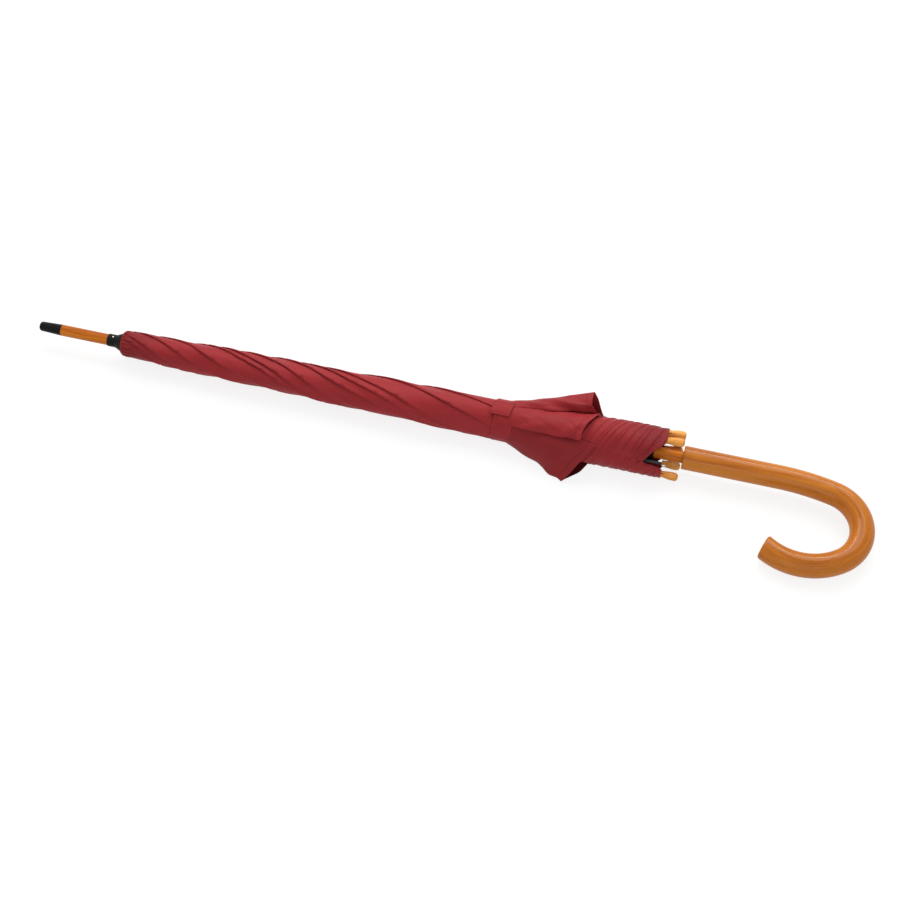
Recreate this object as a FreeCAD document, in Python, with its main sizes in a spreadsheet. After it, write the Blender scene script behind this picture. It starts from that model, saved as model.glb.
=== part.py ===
import FreeCAD, Part
import math
import os

import Sketcher
from FreeCAD import Placement, Rotation, Vector

# A stick umbrella, closed and lying on its side on a level surface. The wooden shaft runs along
# X, with the ferrule at -X and the crook handle at +X, and the crook lies towards -Y.
# Every piece is drawn around a shaft axis that starts at the ferrule's tip, and its Placement
# then brings that axis to its real place above the surface z = 0.
#
# An azimuth is an angle about the shaft, in degrees, from straight up (+Z) towards -Y.
# The canopy's linkage is isosceles: the distance from a rib's hinge on the notch to its
# stretcher's rivet equals the stretcher's length, so the runner stays on the shaft.

DIMENSIONS = {
    # where the shaft axis lies
    "half_length": 442.7,
    "axis_side": 38.9,
    "axis_height": 20.6,
    # shaft and ferrule
    "shaft_radius": 6.0,
    "tenon_radius": 4.2,
    "tenon_start": 4.0,
    "ferrule_length": 25.0,
    "ferrule_tip_radius": 5.0,
    "ferrule_mouth_radius": 6.0,
    "ferrule_rounding": 2.6,
    "shaft_end": 735.0,
    "glue_groove_width": 1.5,
    "glue_groove_radius": 5.6,
    # crook handle
    "handle_start": 691.0,
    "handle_radius": 12.0,
    "handle_rounding": 1.2,
    "crook_rounding": 2.0,
    "crook_slant": 20.0,
    "crook_spare": 6.0,
    "crook_start": 786.0,
    "crook_easing_radius": 248.0,
    "crook_easing_angle": 13.0,
    "crook_bend_radius": 40.4,
    "crook_bend_angle": 130.0,
    "crook_tail_radius": 64.0,
    "crook_tail_angle": 76.4,
    # cap above the canopy
    "cap_start": 78.0,
    "cap_neck_end": 86.5,
    "cap_end": 93.4,
    "cap_neck_radius": 6.7,
    "cap_skirt_radius": 9.9,
    "cap_wall": 0.7,
    "cap_hollow_start": 88.0,
    "cap_pin_place": 84.0,
    "cap_pin_radius": 0.8,
    "cap_pin_top": 6.95,
    "cap_pin_depth": 3.0,
    "rosette_start": 93.6,
    "rosette_end": 94.9,
    "rosette_radius": 11.4,
    "rosette_thickness": 0.4,
    # notch, runner and the wires that are their hinges
    "notch_place": 97.6,
    "notch_half_width": 2.2,
    "hub_radius": 10.0,
    "pivot_radius": 8.2,
    "wire_radius": 0.4,
    "wire_groove_radius": 0.45,
    "slot_width": 1.5,
    "slot_floor": 6.55,
    "slot_height": 5.0,
    "runner_bore": 6.2,
    "runner_head": 2.0,
    "runner_shoulder": 3.5,
    "runner_slot_end": 1.9,
    "runner_sleeve_radius": 8.2,
    "runner_lip_radius": 8.8,
    "runner_lip_length": 4.0,
    "runner_length": 40.5,
    "keyway_width": 2.6,
    "keyway_radius": 7.75,
    # ribs and stretchers
    "linkage_arm": 263.0,
    "rest_angle": 0.9,
    "rib_width": 3.0,
    "rib_inside": 2.0,
    "rib_outside": 4.4,
    "rib_groove_width": 1.6,
    "rib_groove_depth": 1.2,
    "blade_thickness": 1.0,
    "blade_half_height": 1.2,
    "eye_radius": 1.5,
    "wire_hole_radius": 0.55,
    "hinge_drill_length": 4.0,
    "rib_link_length": 10.0,
    "rib_riser_start": 8.0,
    "rib_riser_length": 5.0,
    "rib_bar_start": 9.0,
    "rib_groove_margin": 12.0,
    "rib_bend_overlap": 1.5,
    "lug_root": 0.5,
    "lug_back_length": 6.0,
    "rib_bend": 10.0,
    "rib_length": 574.0,
    "rib_pin_radius": 1.0,
    "rib_pin_length": 8.0,
    "rib_tip_length": 18.5,
    "rib_tip_radius": 4.2,
    "rib_tip_rounding": 3.2,
    "rib_tip_neck": 0.9,
    "rib_tip_belly": 10.5,
    "rib_tip_fork_wall": 0.5,
    "rib_tip_fork_width": 1.0,
    "rib_tip_fork_depth": 4.0,
    "fork_width": 2.8,
    "fork_gap": 1.4,
    "fork_depth": 5.0,
    "fork_back": 3.0,
    "stretcher_bar_trim": 8.0,
    "stretcher_blade_length": 10.0,
    "stretcher_drill_length": 6.0,
    "rivet_radius": 0.6,
    "rivet_hole_radius": 0.7,
    "rivet_head_radius": 1.1,
    "rivet_head_height": 0.4,
    "rivet_play": 0.1,
    # spring catches
    "catch_azimuth": 192.5,
    "catch_width": 1.6,
    "catch_slot_width": 2.4,
    "catch_slot_floor": 1.0,
    "catch_slot_room": 1.0,
    "catch_pin_radius": 0.75,
    "catch_pin_clearance": 0.1,
    "catch_pin_offset": 4.3,
    "catch_pin_length": 6.4,
    "catch_length": 26.0,
    "catch_heel": 2.0,
    "catch_nose_length": 10.0,
    "catch_bottom": 4.2,
    "catch_top": 5.6,
    "catch_nose_top": 7.4,
    "upper_catch_place": 372.0,
    "lower_catch_place": 634.0,
    # canopy, as the folded gores lie when it is rolled
    "cloth_thickness": 0.8,
    "cloth_gap": 2.3,
    "strap_place": 504.0,
    "strap_width": 20.5,
    "strap_thickness": 0.9,
    "patch_thickness": 0.4,
    "patch_lift": 0.05,
    "patch_trim": 3.0,
    "strap_gap": 0.3,
    "strap_first_azimuth": -21.0,
    "strap_last_azimuth": 15.0,
    "floor_gap": 0.1,
    # how far a cutter reaches past what it cuts
    "cutter_reach": 1.0,
}

# Where the closed linkage puts the runner's hinges.
CLOSED_REACH = 2 * DIMENSIONS["linkage_arm"] * math.cos(math.radians(DIMENSIONS["rest_angle"]))
DIMENSIONS["runner_place"] = round(DIMENSIONS["notch_place"] + CLOSED_REACH, 4)

RIB_COUNT = 8
FIRST_RIB_AZIMUTH = -10.0
SAME_PLACE = 0.01       # two places or radii closer than this are the same
LEAST_CUT = 100.0       # a pocket or groove that removes less has cut nothing
CLOTH_STEPS = 8         # flat stretches around one piece of the rolled cloth
CROOK_STEPS = 40        # stretches of each arc when the crook's reach is measured

# Where each rib's tip lies when the canopy is rolled: its azimuth and its distance from the axis.
# The tips underneath are pressed inwards by the surface that the umbrella lies on.
ROLLED_TIPS = [
    (-50, 21.0), (-3, 21.0), (118, 20.6), (176, 15.8),
    (206.5, 18.0), (231, 21.0), (256, 21.0), (281, 21.0),
]

# The outside of the roll: its radius at distances from the ferrule's tip.
ROLL = [
    (101.0, 13.8), (125.0, 15.3), (176.0, 16.4), (272.0, 17.4), (370.0, 18.6),
    (450.0, 20.0), (500.0, 20.4), (560.0, 22.0), (610.0, 23.4), (648.0, 24.0),
]

doc = FreeCAD.newDocument("stick_umbrella")
sheet = doc.addObject("Spreadsheet::Sheet", "dims")
for row, (alias, value) in enumerate(DIMENSIONS.items(), start=1):
    sheet.set(f"A{row}", alias)
    sheet.set(f"B{row}", str(value))
    sheet.setAlias(f"B{row}", alias)
doc.recompute()


def size(alias):
    """The value of one cell of the sheet."""
    return float(getattr(sheet, alias))


nodes = []


def keep(obj, label, placement):
    """Registers obj as the finished piece called label, and puts it in its place."""
    obj.Label = label
    obj.Placement = placement.multiply(obj.Placement)
    nodes.append(obj)
    return obj


# ---------------------------------------------------------------- places and directions

def about_axis(azimuth):
    """The shaft's frame turned about the shaft, so that its own +Z points to this azimuth."""
    start = Vector(-size("half_length"), size("axis_side"), size("axis_height"))
    return Placement(start, Rotation(Vector(1, 0, 0), azimuth))


def rib_azimuth(index):
    """The azimuth in which rib number index opens."""
    return FIRST_RIB_AZIMUTH + index * 360.0 / RIB_COUNT


def rib_frame(index):
    """A rib's frame: its hinge is the origin, X runs along the rib and Z points outwards."""
    hinge = Placement(
        Vector(size("notch_place"), 0, size("pivot_radius")),
        Rotation(Vector(0, 1, 0), -size("rest_angle")),
    )
    return about_axis(rib_azimuth(index)).multiply(hinge)


def stretcher_frame(index):
    """A stretcher's frame: its rivet is the origin and X runs to its hinge on the runner."""
    angle = math.radians(size("rest_angle"))
    along = size("notch_place") + size("linkage_arm") * math.cos(angle)
    out = size("pivot_radius") + size("linkage_arm") * math.sin(angle)
    rivet = Placement(Vector(along, 0, out), Rotation(Vector(0, 1, 0), size("rest_angle")))
    return about_axis(rib_azimuth(index)).multiply(rivet)


def rib_bend_point():
    """Where a rib's straight inner half ends, in the rib's frame."""
    middle = (size("rib_inside") + size("rib_outside")) / 2
    return Vector(size("linkage_arm") + size("rib_bend"), 0, middle)


def rib_end_point(index):
    """Where the middle of a rolled rib's end lies, in the rib's frame."""
    azimuth, radius = ROLLED_TIPS[index]
    aside = math.radians(azimuth - rib_azimuth(index))
    drift = size("rib_length") * math.sin(math.radians(size("rest_angle")))
    height = radius * math.cos(aside) - size("pivot_radius") - drift
    return Vector(size("rib_length"), -radius * math.sin(aside), height)


def rolled_rib_azimuth(index, along):
    """A rolled rib's azimuth at a distance from the ferrule's tip, for the cloth beside it."""
    turns, rib = divmod(index, RIB_COUNT)
    start, end = rib_bend_point(), rib_end_point(rib)
    share = min(max((along - size("notch_place") - start.x) / (end.x - start.x), 0.0), 1.0)
    aside = -share * end.y
    drift = (along - size("notch_place")) * math.sin(math.radians(size("rest_angle")))
    out = size("pivot_radius") + drift + start.z + share * (end.z - start.z)
    return rib_azimuth(rib) + math.degrees(math.atan2(aside, out)) + 360.0 * turns


# ---------------------------------------------------------------- small modelling helpers

def bound(kind, name, **formulas):
    """A Part primitive whose properties are bound to the sheet."""
    obj = doc.addObject(f"Part::{kind}", name)
    for prop, formula in formulas.items():
        obj.setExpression(prop, formula)
    return obj


def box(name, length, width, height, corner, turn=Rotation()):
    """A box of bound sizes. corner is its lowest corner, and turn turns it about the origin."""
    obj = bound("Box", name, Length=length, Width=width, Height=height)
    obj.Placement = Placement(Vector(), turn).multiply(Placement(corner, Rotation()))
    return obj


def crosswise_cylinder(name, radius, length, centre, half_length):
    """A cylinder along Y, centred at centre."""
    obj = bound("Cylinder", name, Radius=radius, Height=length)
    obj.Placement = Placement(centre + Vector(0, half_length, 0), Rotation(Vector(1, 0, 0), 90))
    return obj


def fused(name, shapes):
    """Several shapes joined into one."""
    obj = doc.addObject("Part::MultiFuse", name)
    obj.Shapes = shapes
    return obj


def cut(name, base, tool):
    """A shape with another taken away."""
    obj = doc.addObject("Part::Cut", name)
    obj.Base = base
    obj.Tool = tool
    return obj


def plane_of(body, role):
    """One of the body's own origin planes."""
    return next(f for f in body.Origin.OriginFeatures if f.Role == role)


def sketch_on(body, name, role):
    """A new sketch on one of the body's origin planes."""
    sketch = body.newObject("Sketcher::SketchObject", name)
    sketch.AttachmentSupport = (plane_of(body, role), [""])
    sketch.MapMode = "FlatFace"
    return sketch


def pin_point(sketch, line, across, up):
    """Binds the start of a sketch's line to two formulas, where "0" puts it on the axis."""
    for kind, formula, axis in (("DistanceX", across, -2), ("DistanceY", up, -1)):
        if formula == "0":
            sketch.addConstraint(Sketcher.Constraint("PointOnObject", line, 1, axis))
            continue
        index = sketch.addConstraint(Sketcher.Constraint(kind, -1, 1, line, 1, 1.0))
        sketch.setExpression(f"Constraints[{index}]", formula)


def outline(body, name, role, corners):
    """A closed polygon whose corners are pairs of formulas."""
    sketch = sketch_on(body, name, role)
    count = len(corners)
    ring = [
        Vector(math.cos(2 * math.pi * i / count), math.sin(2 * math.pi * i / count), 0)
        for i in range(count)
    ]
    for i in range(count):
        sketch.addGeometry(Part.LineSegment(ring[i], ring[(i + 1) % count]), False)
    for i in range(count):
        sketch.addConstraint(Sketcher.Constraint("Coincident", i, 2, (i + 1) % count, 1))
    for i, (across, up) in enumerate(corners):
        pin_point(sketch, i, across, up)
    return sketch


def turned(name, corners):
    """A body turned about the shaft axis from an outline of (along, radius) formulas."""
    body = doc.addObject("PartDesign::Body", name)
    profile = outline(body, f"{name}_outline", "XZ_Plane", corners)
    revolution = body.newObject("PartDesign::Revolution", f"{name}_turned")
    revolution.Profile = profile
    revolution.ReferenceAxis = (profile, ["H_Axis"])
    revolution.Angle = 360.0
    return body


def rounded(body, name, radius, is_edge):
    """Rounds those of the body's edges for which is_edge is true."""
    doc.recompute()
    base = body.Tip
    edges = [f"Edge{i + 1}" for i, edge in enumerate(base.Shape.Edges) if is_edge(edge)]
    fillet = body.newObject("PartDesign::Fillet", name)
    fillet.Base = (base, edges)
    fillet.setExpression("Radius", radius)
    return fillet


def is_circle(edge, along, radius):
    """True if edge is a full circle about the shaft axis at this place."""
    return (
        isinstance(edge.Curve, Part.Circle)
        and abs(edge.Curve.Radius - radius) < SAME_PLACE
        and abs(edge.Curve.Center.x - along) < SAME_PLACE
    )


def torus(name, minor, along):
    """A ring of wire, or its groove, around the shaft axis."""
    obj = bound("Torus", name, Radius1="dims.pivot_radius", Radius2=minor)
    obj.Placement = Placement(Vector(along, 0, 0), Rotation(Vector(0, 1, 0), 90))
    return obj


# ---------------------------------------------------------------- shaft, ferrule and handle

def catch_slot(body, name, place):
    """Cuts the slot of one spring catch into the shaft, from the side."""
    before = body.Shape.Volume
    start = f"dims.{place} - dims.catch_slot_room"
    end = f"dims.{place} + dims.catch_length + dims.catch_heel + dims.catch_slot_room"
    floor, top = "dims.catch_slot_floor", "dims.shaft_radius + dims.cutter_reach"
    corners = [(start, floor), (end, floor), (end, top), (start, top)]
    pocket = body.newObject("PartDesign::Pocket", name)
    pocket.Profile = outline(body, f"{name}_outline", "XZ_Plane", corners)
    pocket.Midplane = True
    pocket.setExpression("Length", "dims.catch_slot_width")
    doc.recompute()
    if body.Shape.Volume > before - LEAST_CUT:
        raise RuntimeError(f"{name} cuts nothing")


def make_shaft():
    """The wooden rod: a tenon for the ferrule, the bare end up to the cap, a glue groove
    under the cap, and the slots of the two spring catches."""
    corners = [
        ("dims.tenon_start", "0"),
        ("dims.tenon_start", "dims.tenon_radius"),
        ("dims.ferrule_length", "dims.tenon_radius"),
        ("dims.ferrule_length", "dims.shaft_radius"),
        ("dims.cap_start", "dims.shaft_radius"),
        ("dims.cap_start", "dims.glue_groove_radius"),
        ("dims.cap_start + dims.glue_groove_width", "dims.glue_groove_radius"),
        ("dims.cap_start + dims.glue_groove_width", "dims.shaft_radius"),
        ("dims.shaft_end", "dims.shaft_radius"),
        ("dims.shaft_end", "0"),
    ]
    body = turned("shaft_body", corners)
    doc.recompute()
    for place in ("upper_catch_place", "lower_catch_place"):
        catch_slot(body, f"{place}_slot", place)
    pin_holes = []
    for place in ("upper_catch_place", "lower_catch_place"):
        centre = Vector(size(place) + size("catch_length"), 0, size("catch_pin_offset"))
        pin_holes.append(crosswise_cylinder(
            f"{place}_hole", "dims.catch_pin_radius", "dims.catch_pin_length",
            centre, size("catch_pin_length") / 2,
        ))
    pin_holes.append(cap_pin("cap_pin_hole"))
    turn = size("catch_azimuth")
    pin_holes[-1].Placement = Placement(
        Vector(), Rotation(Vector(1, 0, 0), -turn)).multiply(pin_holes[-1].Placement)
    drilled = cut("shaft_drilled", body, fused("shaft_holes", pin_holes))
    keep(drilled, "shaft", about_axis(turn))


def make_ferrule():
    """The tapered metal cap on the shaft's end."""
    corners = [
        ("0", "0"),
        ("0", "dims.ferrule_tip_radius"),
        ("dims.ferrule_length", "dims.ferrule_mouth_radius"),
        ("dims.ferrule_length", "dims.tenon_radius"),
        ("dims.tenon_start", "dims.tenon_radius"),
        ("dims.tenon_start", "0"),
    ]
    body = turned("ferrule_body", corners)
    radius = size("ferrule_tip_radius")
    rounded(body, "ferrule_rounded", "dims.ferrule_rounding", lambda e: is_circle(e, 0.0, radius))
    keep(body, "ferrule", about_axis(0))


def crook_path():
    """The crook's arcs as (centre, start angle, end angle, radius) in the handle's plane."""
    arcs = []
    point, heading = Vector(size("crook_start"), 0, 0), 0.0
    for part in ("easing", "bend", "tail"):
        radius, angle = size(f"crook_{part}_radius"), size(f"crook_{part}_angle")
        side = math.radians(heading - 90)
        centre = point + Vector(math.cos(side), math.sin(side), 0) * radius
        arcs.append((centre, heading + 90 - angle, heading + 90, radius))
        heading -= angle
        end = math.radians(heading + 90)
        point = centre + Vector(math.cos(end), math.sin(end), 0) * radius
    return arcs, point, heading


def make_handle():
    """The bent wooden handle, bored for the shaft. Its crook droops to the surface."""
    body = doc.addObject("PartDesign::Body", "handle_body")
    path = sketch_on(body, "handle_path", "XY_Plane")
    start = Vector(size("handle_start"), 0, 0)
    path.addGeometry(Part.LineSegment(start, Vector(size("crook_start"), 0, 0)), False)
    arcs, _, _ = crook_path()
    for centre, low, high, radius in arcs:
        circle = Part.Circle(centre, Vector(0, 0, 1), radius)
        path.addGeometry(Part.ArcOfCircle(circle, math.radians(low), math.radians(high)), False)
    profile = sketch_on(body, "handle_profile", "YZ_Plane")
    profile.AttachmentOffset = Placement(Vector(0, 0, size("handle_start")), Rotation())
    profile.addGeometry(Part.Circle(Vector(), Vector(0, 0, 1), size("handle_radius")), False)
    profile.addConstraint(Sketcher.Constraint("Coincident", 0, 3, -1, 1))
    index = profile.addConstraint(Sketcher.Constraint("Radius", 0, size("handle_radius")))
    profile.setExpression(f"Constraints[{index}]", "dims.handle_radius")
    pipe = body.newObject("PartDesign::AdditivePipe", "handle_bent")
    pipe.Profile = profile
    pipe.Spine = path
    pipe.Transition = "Transformed"
    doc.recompute()
    before = body.Shape.Volume
    trim = sketch_on(body, "handle_trim_outline", "XY_Plane")
    corners = crook_trim()
    for first, second in zip(corners, corners[1:] + corners[:1]):
        trim.addGeometry(Part.LineSegment(first, second), False)
    pocket = body.newObject("PartDesign::Pocket", "handle_trimmed")
    pocket.Profile = trim
    pocket.Type = "ThroughAll"
    pocket.Midplane = True
    doc.recompute()
    if body.Shape.Volume > before - LEAST_CUT:
        raise RuntimeError("the crook's slanted end cuts nothing")
    radius = size("handle_radius")
    rounded(body, "handle_mouth_rounded", "dims.handle_rounding",
            lambda e: is_circle(e, start.x, radius))
    rounded(body, "handle_end_rounded", "dims.crook_rounding", is_crook_end)
    doc.recompute()
    before = body.Shape.Volume
    socket = body.newObject("PartDesign::Groove", "handle_socket")
    mouth, floor = "dims.handle_start - dims.cutter_reach", "dims.shaft_end"
    corners = [
        (mouth, "0"), (mouth, "dims.shaft_radius"), (floor, "dims.shaft_radius"), (floor, "0"),
    ]
    socket.Profile = outline(body, "handle_socket_outline", "XZ_Plane", corners)
    socket.ReferenceAxis = (socket.Profile[0], ["H_Axis"])
    socket.Angle = 360.0
    doc.recompute()
    if body.Shape.Volume > before - LEAST_CUT:
        raise RuntimeError("the handle's socket cuts nothing")
    drop = size("axis_height") - size("handle_radius")
    droop = math.degrees(math.asin(drop / crook_reach()))
    keep(body, "handle", about_axis(droop))


def crook_end_plane():
    """The middle of the crook's slanted end, a direction across it, and the way it faces."""
    _, end, heading = crook_path()
    ahead = Vector(math.cos(math.radians(heading)), math.sin(math.radians(heading)), 0)
    slant = math.radians(heading - 90 + size("crook_slant"))
    across = Vector(math.cos(slant), math.sin(slant), 0)
    return end - ahead * size("crook_spare"), across, ahead


def crook_trim():
    """The corners of what is cut off the crook's end, in the handle's plane."""
    middle, across, ahead = crook_end_plane()
    reach = 2 * size("handle_radius")
    near, far = middle + across * reach, middle - across * reach
    return [near, far, far + ahead * reach, near + ahead * reach]


def is_crook_end(edge):
    """True if edge lies in the plane of the crook's slanted end."""
    middle, across, _ = crook_end_plane()
    facing = Vector(-across.y, across.x, 0)
    return all(abs((p - middle).dot(facing)) < SAME_PLACE for p in edge.discretize(5))


def crook_reach():
    """How far the crook's centre line lies from the shaft axis at most."""
    arcs, _, _ = crook_path()
    sides = []
    for centre, low, high, radius in arcs:
        for step in range(CROOK_STEPS + 1):
            angle = math.radians(low + (high - low) * step / CROOK_STEPS)
            sides.append(-centre.y - radius * math.sin(angle))
    return max(sides)


# ---------------------------------------------------------------- cap, notch and runner

def cap_pin(name):
    """The small pin that holds the cap, pointing straight up through its neck."""
    obj = bound(
        "Cylinder", name, Radius="dims.cap_pin_radius",
        Height="dims.cap_pin_top - dims.cap_pin_depth",
    )
    obj.Placement = Placement(
        Vector(size("cap_pin_place"), 0, size("cap_pin_depth")), Rotation())
    return obj


def make_cap():
    """The plastic cap over the middle of the canopy, its pin, and the cloth rosette below it."""
    corners = [
        ("dims.cap_start", "dims.shaft_radius"),
        ("dims.cap_start", "dims.cap_neck_radius"),
        ("dims.cap_neck_end", "dims.cap_neck_radius"),
        ("dims.cap_end", "dims.cap_skirt_radius"),
        ("dims.cap_end", "dims.cap_skirt_radius - dims.cap_wall"),
        ("dims.cap_hollow_start", "dims.shaft_radius"),
    ]
    drilled = cut("cap_drilled", turned("cap_body", corners), cap_pin("cap_hole"))
    keep(drilled, "top_cap", about_axis(0))
    keep(cap_pin("cap_pin"), "top_cap_pin", about_axis(0))
    corners = [
        ("dims.rosette_start", "dims.shaft_radius"),
        ("dims.rosette_end", "dims.rosette_radius"),
        ("dims.rosette_end + dims.rosette_thickness", "dims.rosette_radius"),
        ("dims.rosette_start + dims.rosette_thickness", "dims.shaft_radius"),
    ]
    keep(turned("rosette_body", corners), "crown_rosette", about_axis(0))


def slots(name, start, length):
    """The radial slots for the ends of the ribs or stretchers."""
    cutters = []
    for index in range(RIB_COUNT):
        corner = Vector(start, -size("slot_width") / 2, size("slot_floor"))
        turn = Rotation(Vector(1, 0, 0), rib_azimuth(index))
        cutters.append(box(
            f"{name}_{index + 1}", length, "dims.slot_width", "dims.slot_height", corner, turn))
    return cutters


def make_notch():
    """The slotted disc that is pinned to the shaft and carries the ribs, and its wire."""
    low = "dims.notch_place - dims.notch_half_width"
    high = "dims.notch_place + dims.notch_half_width"
    corners = [
        (low, "dims.shaft_radius"), (low, "dims.hub_radius"),
        (high, "dims.hub_radius"), (high, "dims.shaft_radius"),
    ]
    place = size("notch_place")
    start = place - size("notch_half_width") - size("cutter_reach")
    cutters = slots("notch_slot", start, "2 * (dims.notch_half_width + dims.cutter_reach)")
    cutters.append(torus("notch_groove", "dims.wire_groove_radius", place))
    slotted = cut("notch_slotted", turned("notch_body", corners), fused("notch_cuts", cutters))
    keep(slotted, "notch", about_axis(0))
    keep(torus("notch_ring", "dims.wire_radius", place), "notch_wire", about_axis(0))


def make_runner():
    """The slider that pushes the stretchers, with a keyway over the spring catches."""
    place = size("runner_place")
    start = "dims.runner_place - dims.runner_head"
    neck = "dims.runner_place + dims.runner_shoulder"
    end = f"{start} + dims.runner_length"
    lip = f"{end} - dims.runner_lip_length"
    corners = [
        (start, "dims.runner_bore"),
        (start, "dims.hub_radius"),
        (neck, "dims.hub_radius"),
        (neck, "dims.runner_sleeve_radius"),
        (lip, "dims.runner_sleeve_radius"),
        (lip, "dims.runner_lip_radius"),
        (end, "dims.runner_lip_radius"),
        (end, "dims.runner_bore"),
    ]
    cutter_start = place - size("runner_head") - size("cutter_reach")
    cutters = slots("runner_slot", cutter_start,
                    "dims.runner_head + dims.runner_slot_end + dims.cutter_reach")
    cutters.append(torus("runner_groove", "dims.wire_groove_radius", place))
    corner = Vector(cutter_start, -size("keyway_width") / 2, 0)
    turn = Rotation(Vector(1, 0, 0), size("catch_azimuth"))
    cutters.append(box("runner_keyway", "dims.runner_length + 2 * dims.cutter_reach",
                       "dims.keyway_width", "dims.keyway_radius", corner, turn))
    slotted = cut("runner_slotted", turned("runner_body", corners), fused("runner_cuts", cutters))
    keep(slotted, "runner", about_axis(0))
    keep(torus("runner_ring", "dims.wire_radius", place), "runner_wire", about_axis(0))


# ---------------------------------------------------------------- spring catches

def make_catch(side):
    """A sprung metal catch with a sloping nose, and the pin that it turns on."""
    place, label = f"dims.{side}_catch_place", f"{side}_catch"
    heel = f"{place} + dims.catch_length + dims.catch_heel"
    corners = [
        (place, "dims.catch_bottom"),
        (place, "dims.catch_nose_top"),
        (f"{place} + dims.catch_nose_length", "dims.catch_top"),
        (heel, "dims.catch_top"),
        (heel, "dims.catch_bottom - dims.catch_heel / 2"),
        (f"{place} + dims.catch_length - dims.catch_heel",
         "dims.catch_bottom - dims.catch_heel / 2"),
        (f"{place} + dims.catch_length - 2 * dims.catch_heel", "dims.catch_bottom"),
    ]
    body = doc.addObject("PartDesign::Body", f"{label}_body")
    pad = body.newObject("PartDesign::Pad", f"{label}_strip")
    pad.Profile = outline(body, f"{label}_outline", "XZ_Plane", corners)
    pad.Midplane = True
    pad.setExpression("Length", "dims.catch_width")
    centre = Vector(size(f"{side}_catch_place") + size("catch_length"), 0,
                    size("catch_pin_offset"))
    hole = crosswise_cylinder(
        f"{label}_hole", "dims.catch_pin_radius + dims.catch_pin_clearance",
        "dims.catch_pin_length", centre, size("catch_pin_length") / 2,
    )
    frame = about_axis(size("catch_azimuth"))
    keep(cut(f"{label}_drilled", body, hole), label, frame)
    pin = crosswise_cylinder(
        f"{label}_pin_rod", "dims.catch_pin_radius", "dims.catch_pin_length",
        centre, size("catch_pin_length") / 2,
    )
    keep(pin, f"{label}_pin", frame)


# ---------------------------------------------------------------- ribs, tips and stretchers

def beam(name, start, end):
    """One straight length of a rib: a bar from start to end with a groove along its inside."""
    direction = end - start
    turn = Rotation(Vector(1, 0, 0), direction)
    frame = Placement(start, turn)
    depth = size("rib_outside") - size("rib_inside")
    bar = bound("Box", f"{name}_bar", Width="dims.rib_width",
                Height="dims.rib_outside - dims.rib_inside")
    bar.Length = direction.Length
    bar.Placement = frame.multiply(
        Placement(Vector(0, -size("rib_width") / 2, -depth / 2), Rotation()))
    margin, reach = size("rib_groove_margin"), size("cutter_reach")
    groove = bound("Box", f"{name}_groove", Width="dims.rib_groove_width",
                   Height="dims.rib_groove_depth + dims.cutter_reach")
    groove.Length = direction.Length - 2 * margin
    corner = Vector(margin, -size("rib_groove_width") / 2, -depth / 2 - reach)
    groove.Placement = frame.multiply(Placement(corner, Rotation()))
    return cut(name, bar, groove)


def make_rib(index):
    """A rib: an eye on the notch wire, a grooved bar, a lug for its stretcher, and its end pin."""
    label = f"rib_{index + 1}"
    thick, arm = size("blade_thickness"), size("linkage_arm")
    low, high = size("blade_half_height"), size("rib_inside")
    bend, end = rib_bend_point(), rib_end_point(index)
    outwards = (end - bend).normalize()
    pieces = [
        crosswise_cylinder(f"{label}_eye", "dims.eye_radius", "dims.blade_thickness",
                           Vector(), thick / 2),
        box(f"{label}_link", "dims.rib_link_length", "dims.blade_thickness",
            "2 * dims.blade_half_height", Vector(0, -thick / 2, -low)),
        box(f"{label}_riser", "dims.rib_riser_length", "dims.blade_thickness",
            "dims.rib_outside + dims.blade_half_height",
            Vector(size("rib_riser_start"), -thick / 2, -low)),
        beam(f"{label}_inner", Vector(size("rib_bar_start"), 0, bend.z), bend),
        beam(f"{label}_outer", bend - outwards * size("rib_bend_overlap"), end),
        box(f"{label}_lug", "2 * dims.eye_radius", "dims.blade_thickness",
            "dims.rib_inside + dims.lug_root", Vector(arm - size("eye_radius"), -thick / 2, 0)),
        crosswise_cylinder(f"{label}_lug_eye", "dims.eye_radius", "dims.blade_thickness",
                           Vector(arm, 0, 0), thick / 2),
    ]
    pin = bound("Cylinder", f"{label}_end_pin", Radius="dims.rib_pin_radius",
                Height="dims.rib_pin_length + dims.cutter_reach")
    root = end - outwards * size("cutter_reach")
    pin.Placement = Placement(root, Rotation(Vector(0, 0, 1), outwards))
    pieces.append(pin)
    back_start = arm - size("lug_back_length") / 2
    plug = box(f"{label}_lug_back", "dims.lug_back_length", "dims.rib_width",
               "dims.rib_groove_depth", Vector(back_start, -size("rib_width") / 2, high))
    pieces.append(plug)
    drill, half_drill = "dims.hinge_drill_length", size("hinge_drill_length") / 2
    holes = [
        crosswise_cylinder(f"{label}_eye_hole", "dims.wire_hole_radius", drill, Vector(),
                           half_drill),
        crosswise_cylinder(f"{label}_lug_hole", "dims.rivet_radius", drill, Vector(arm, 0, 0),
                           half_drill),
    ]
    body = cut(f"{label}_drilled", fused(f"{label}_solid", pieces),
               fused(f"{label}_holes", holes))
    keep(body, label, rib_frame(index))


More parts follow.
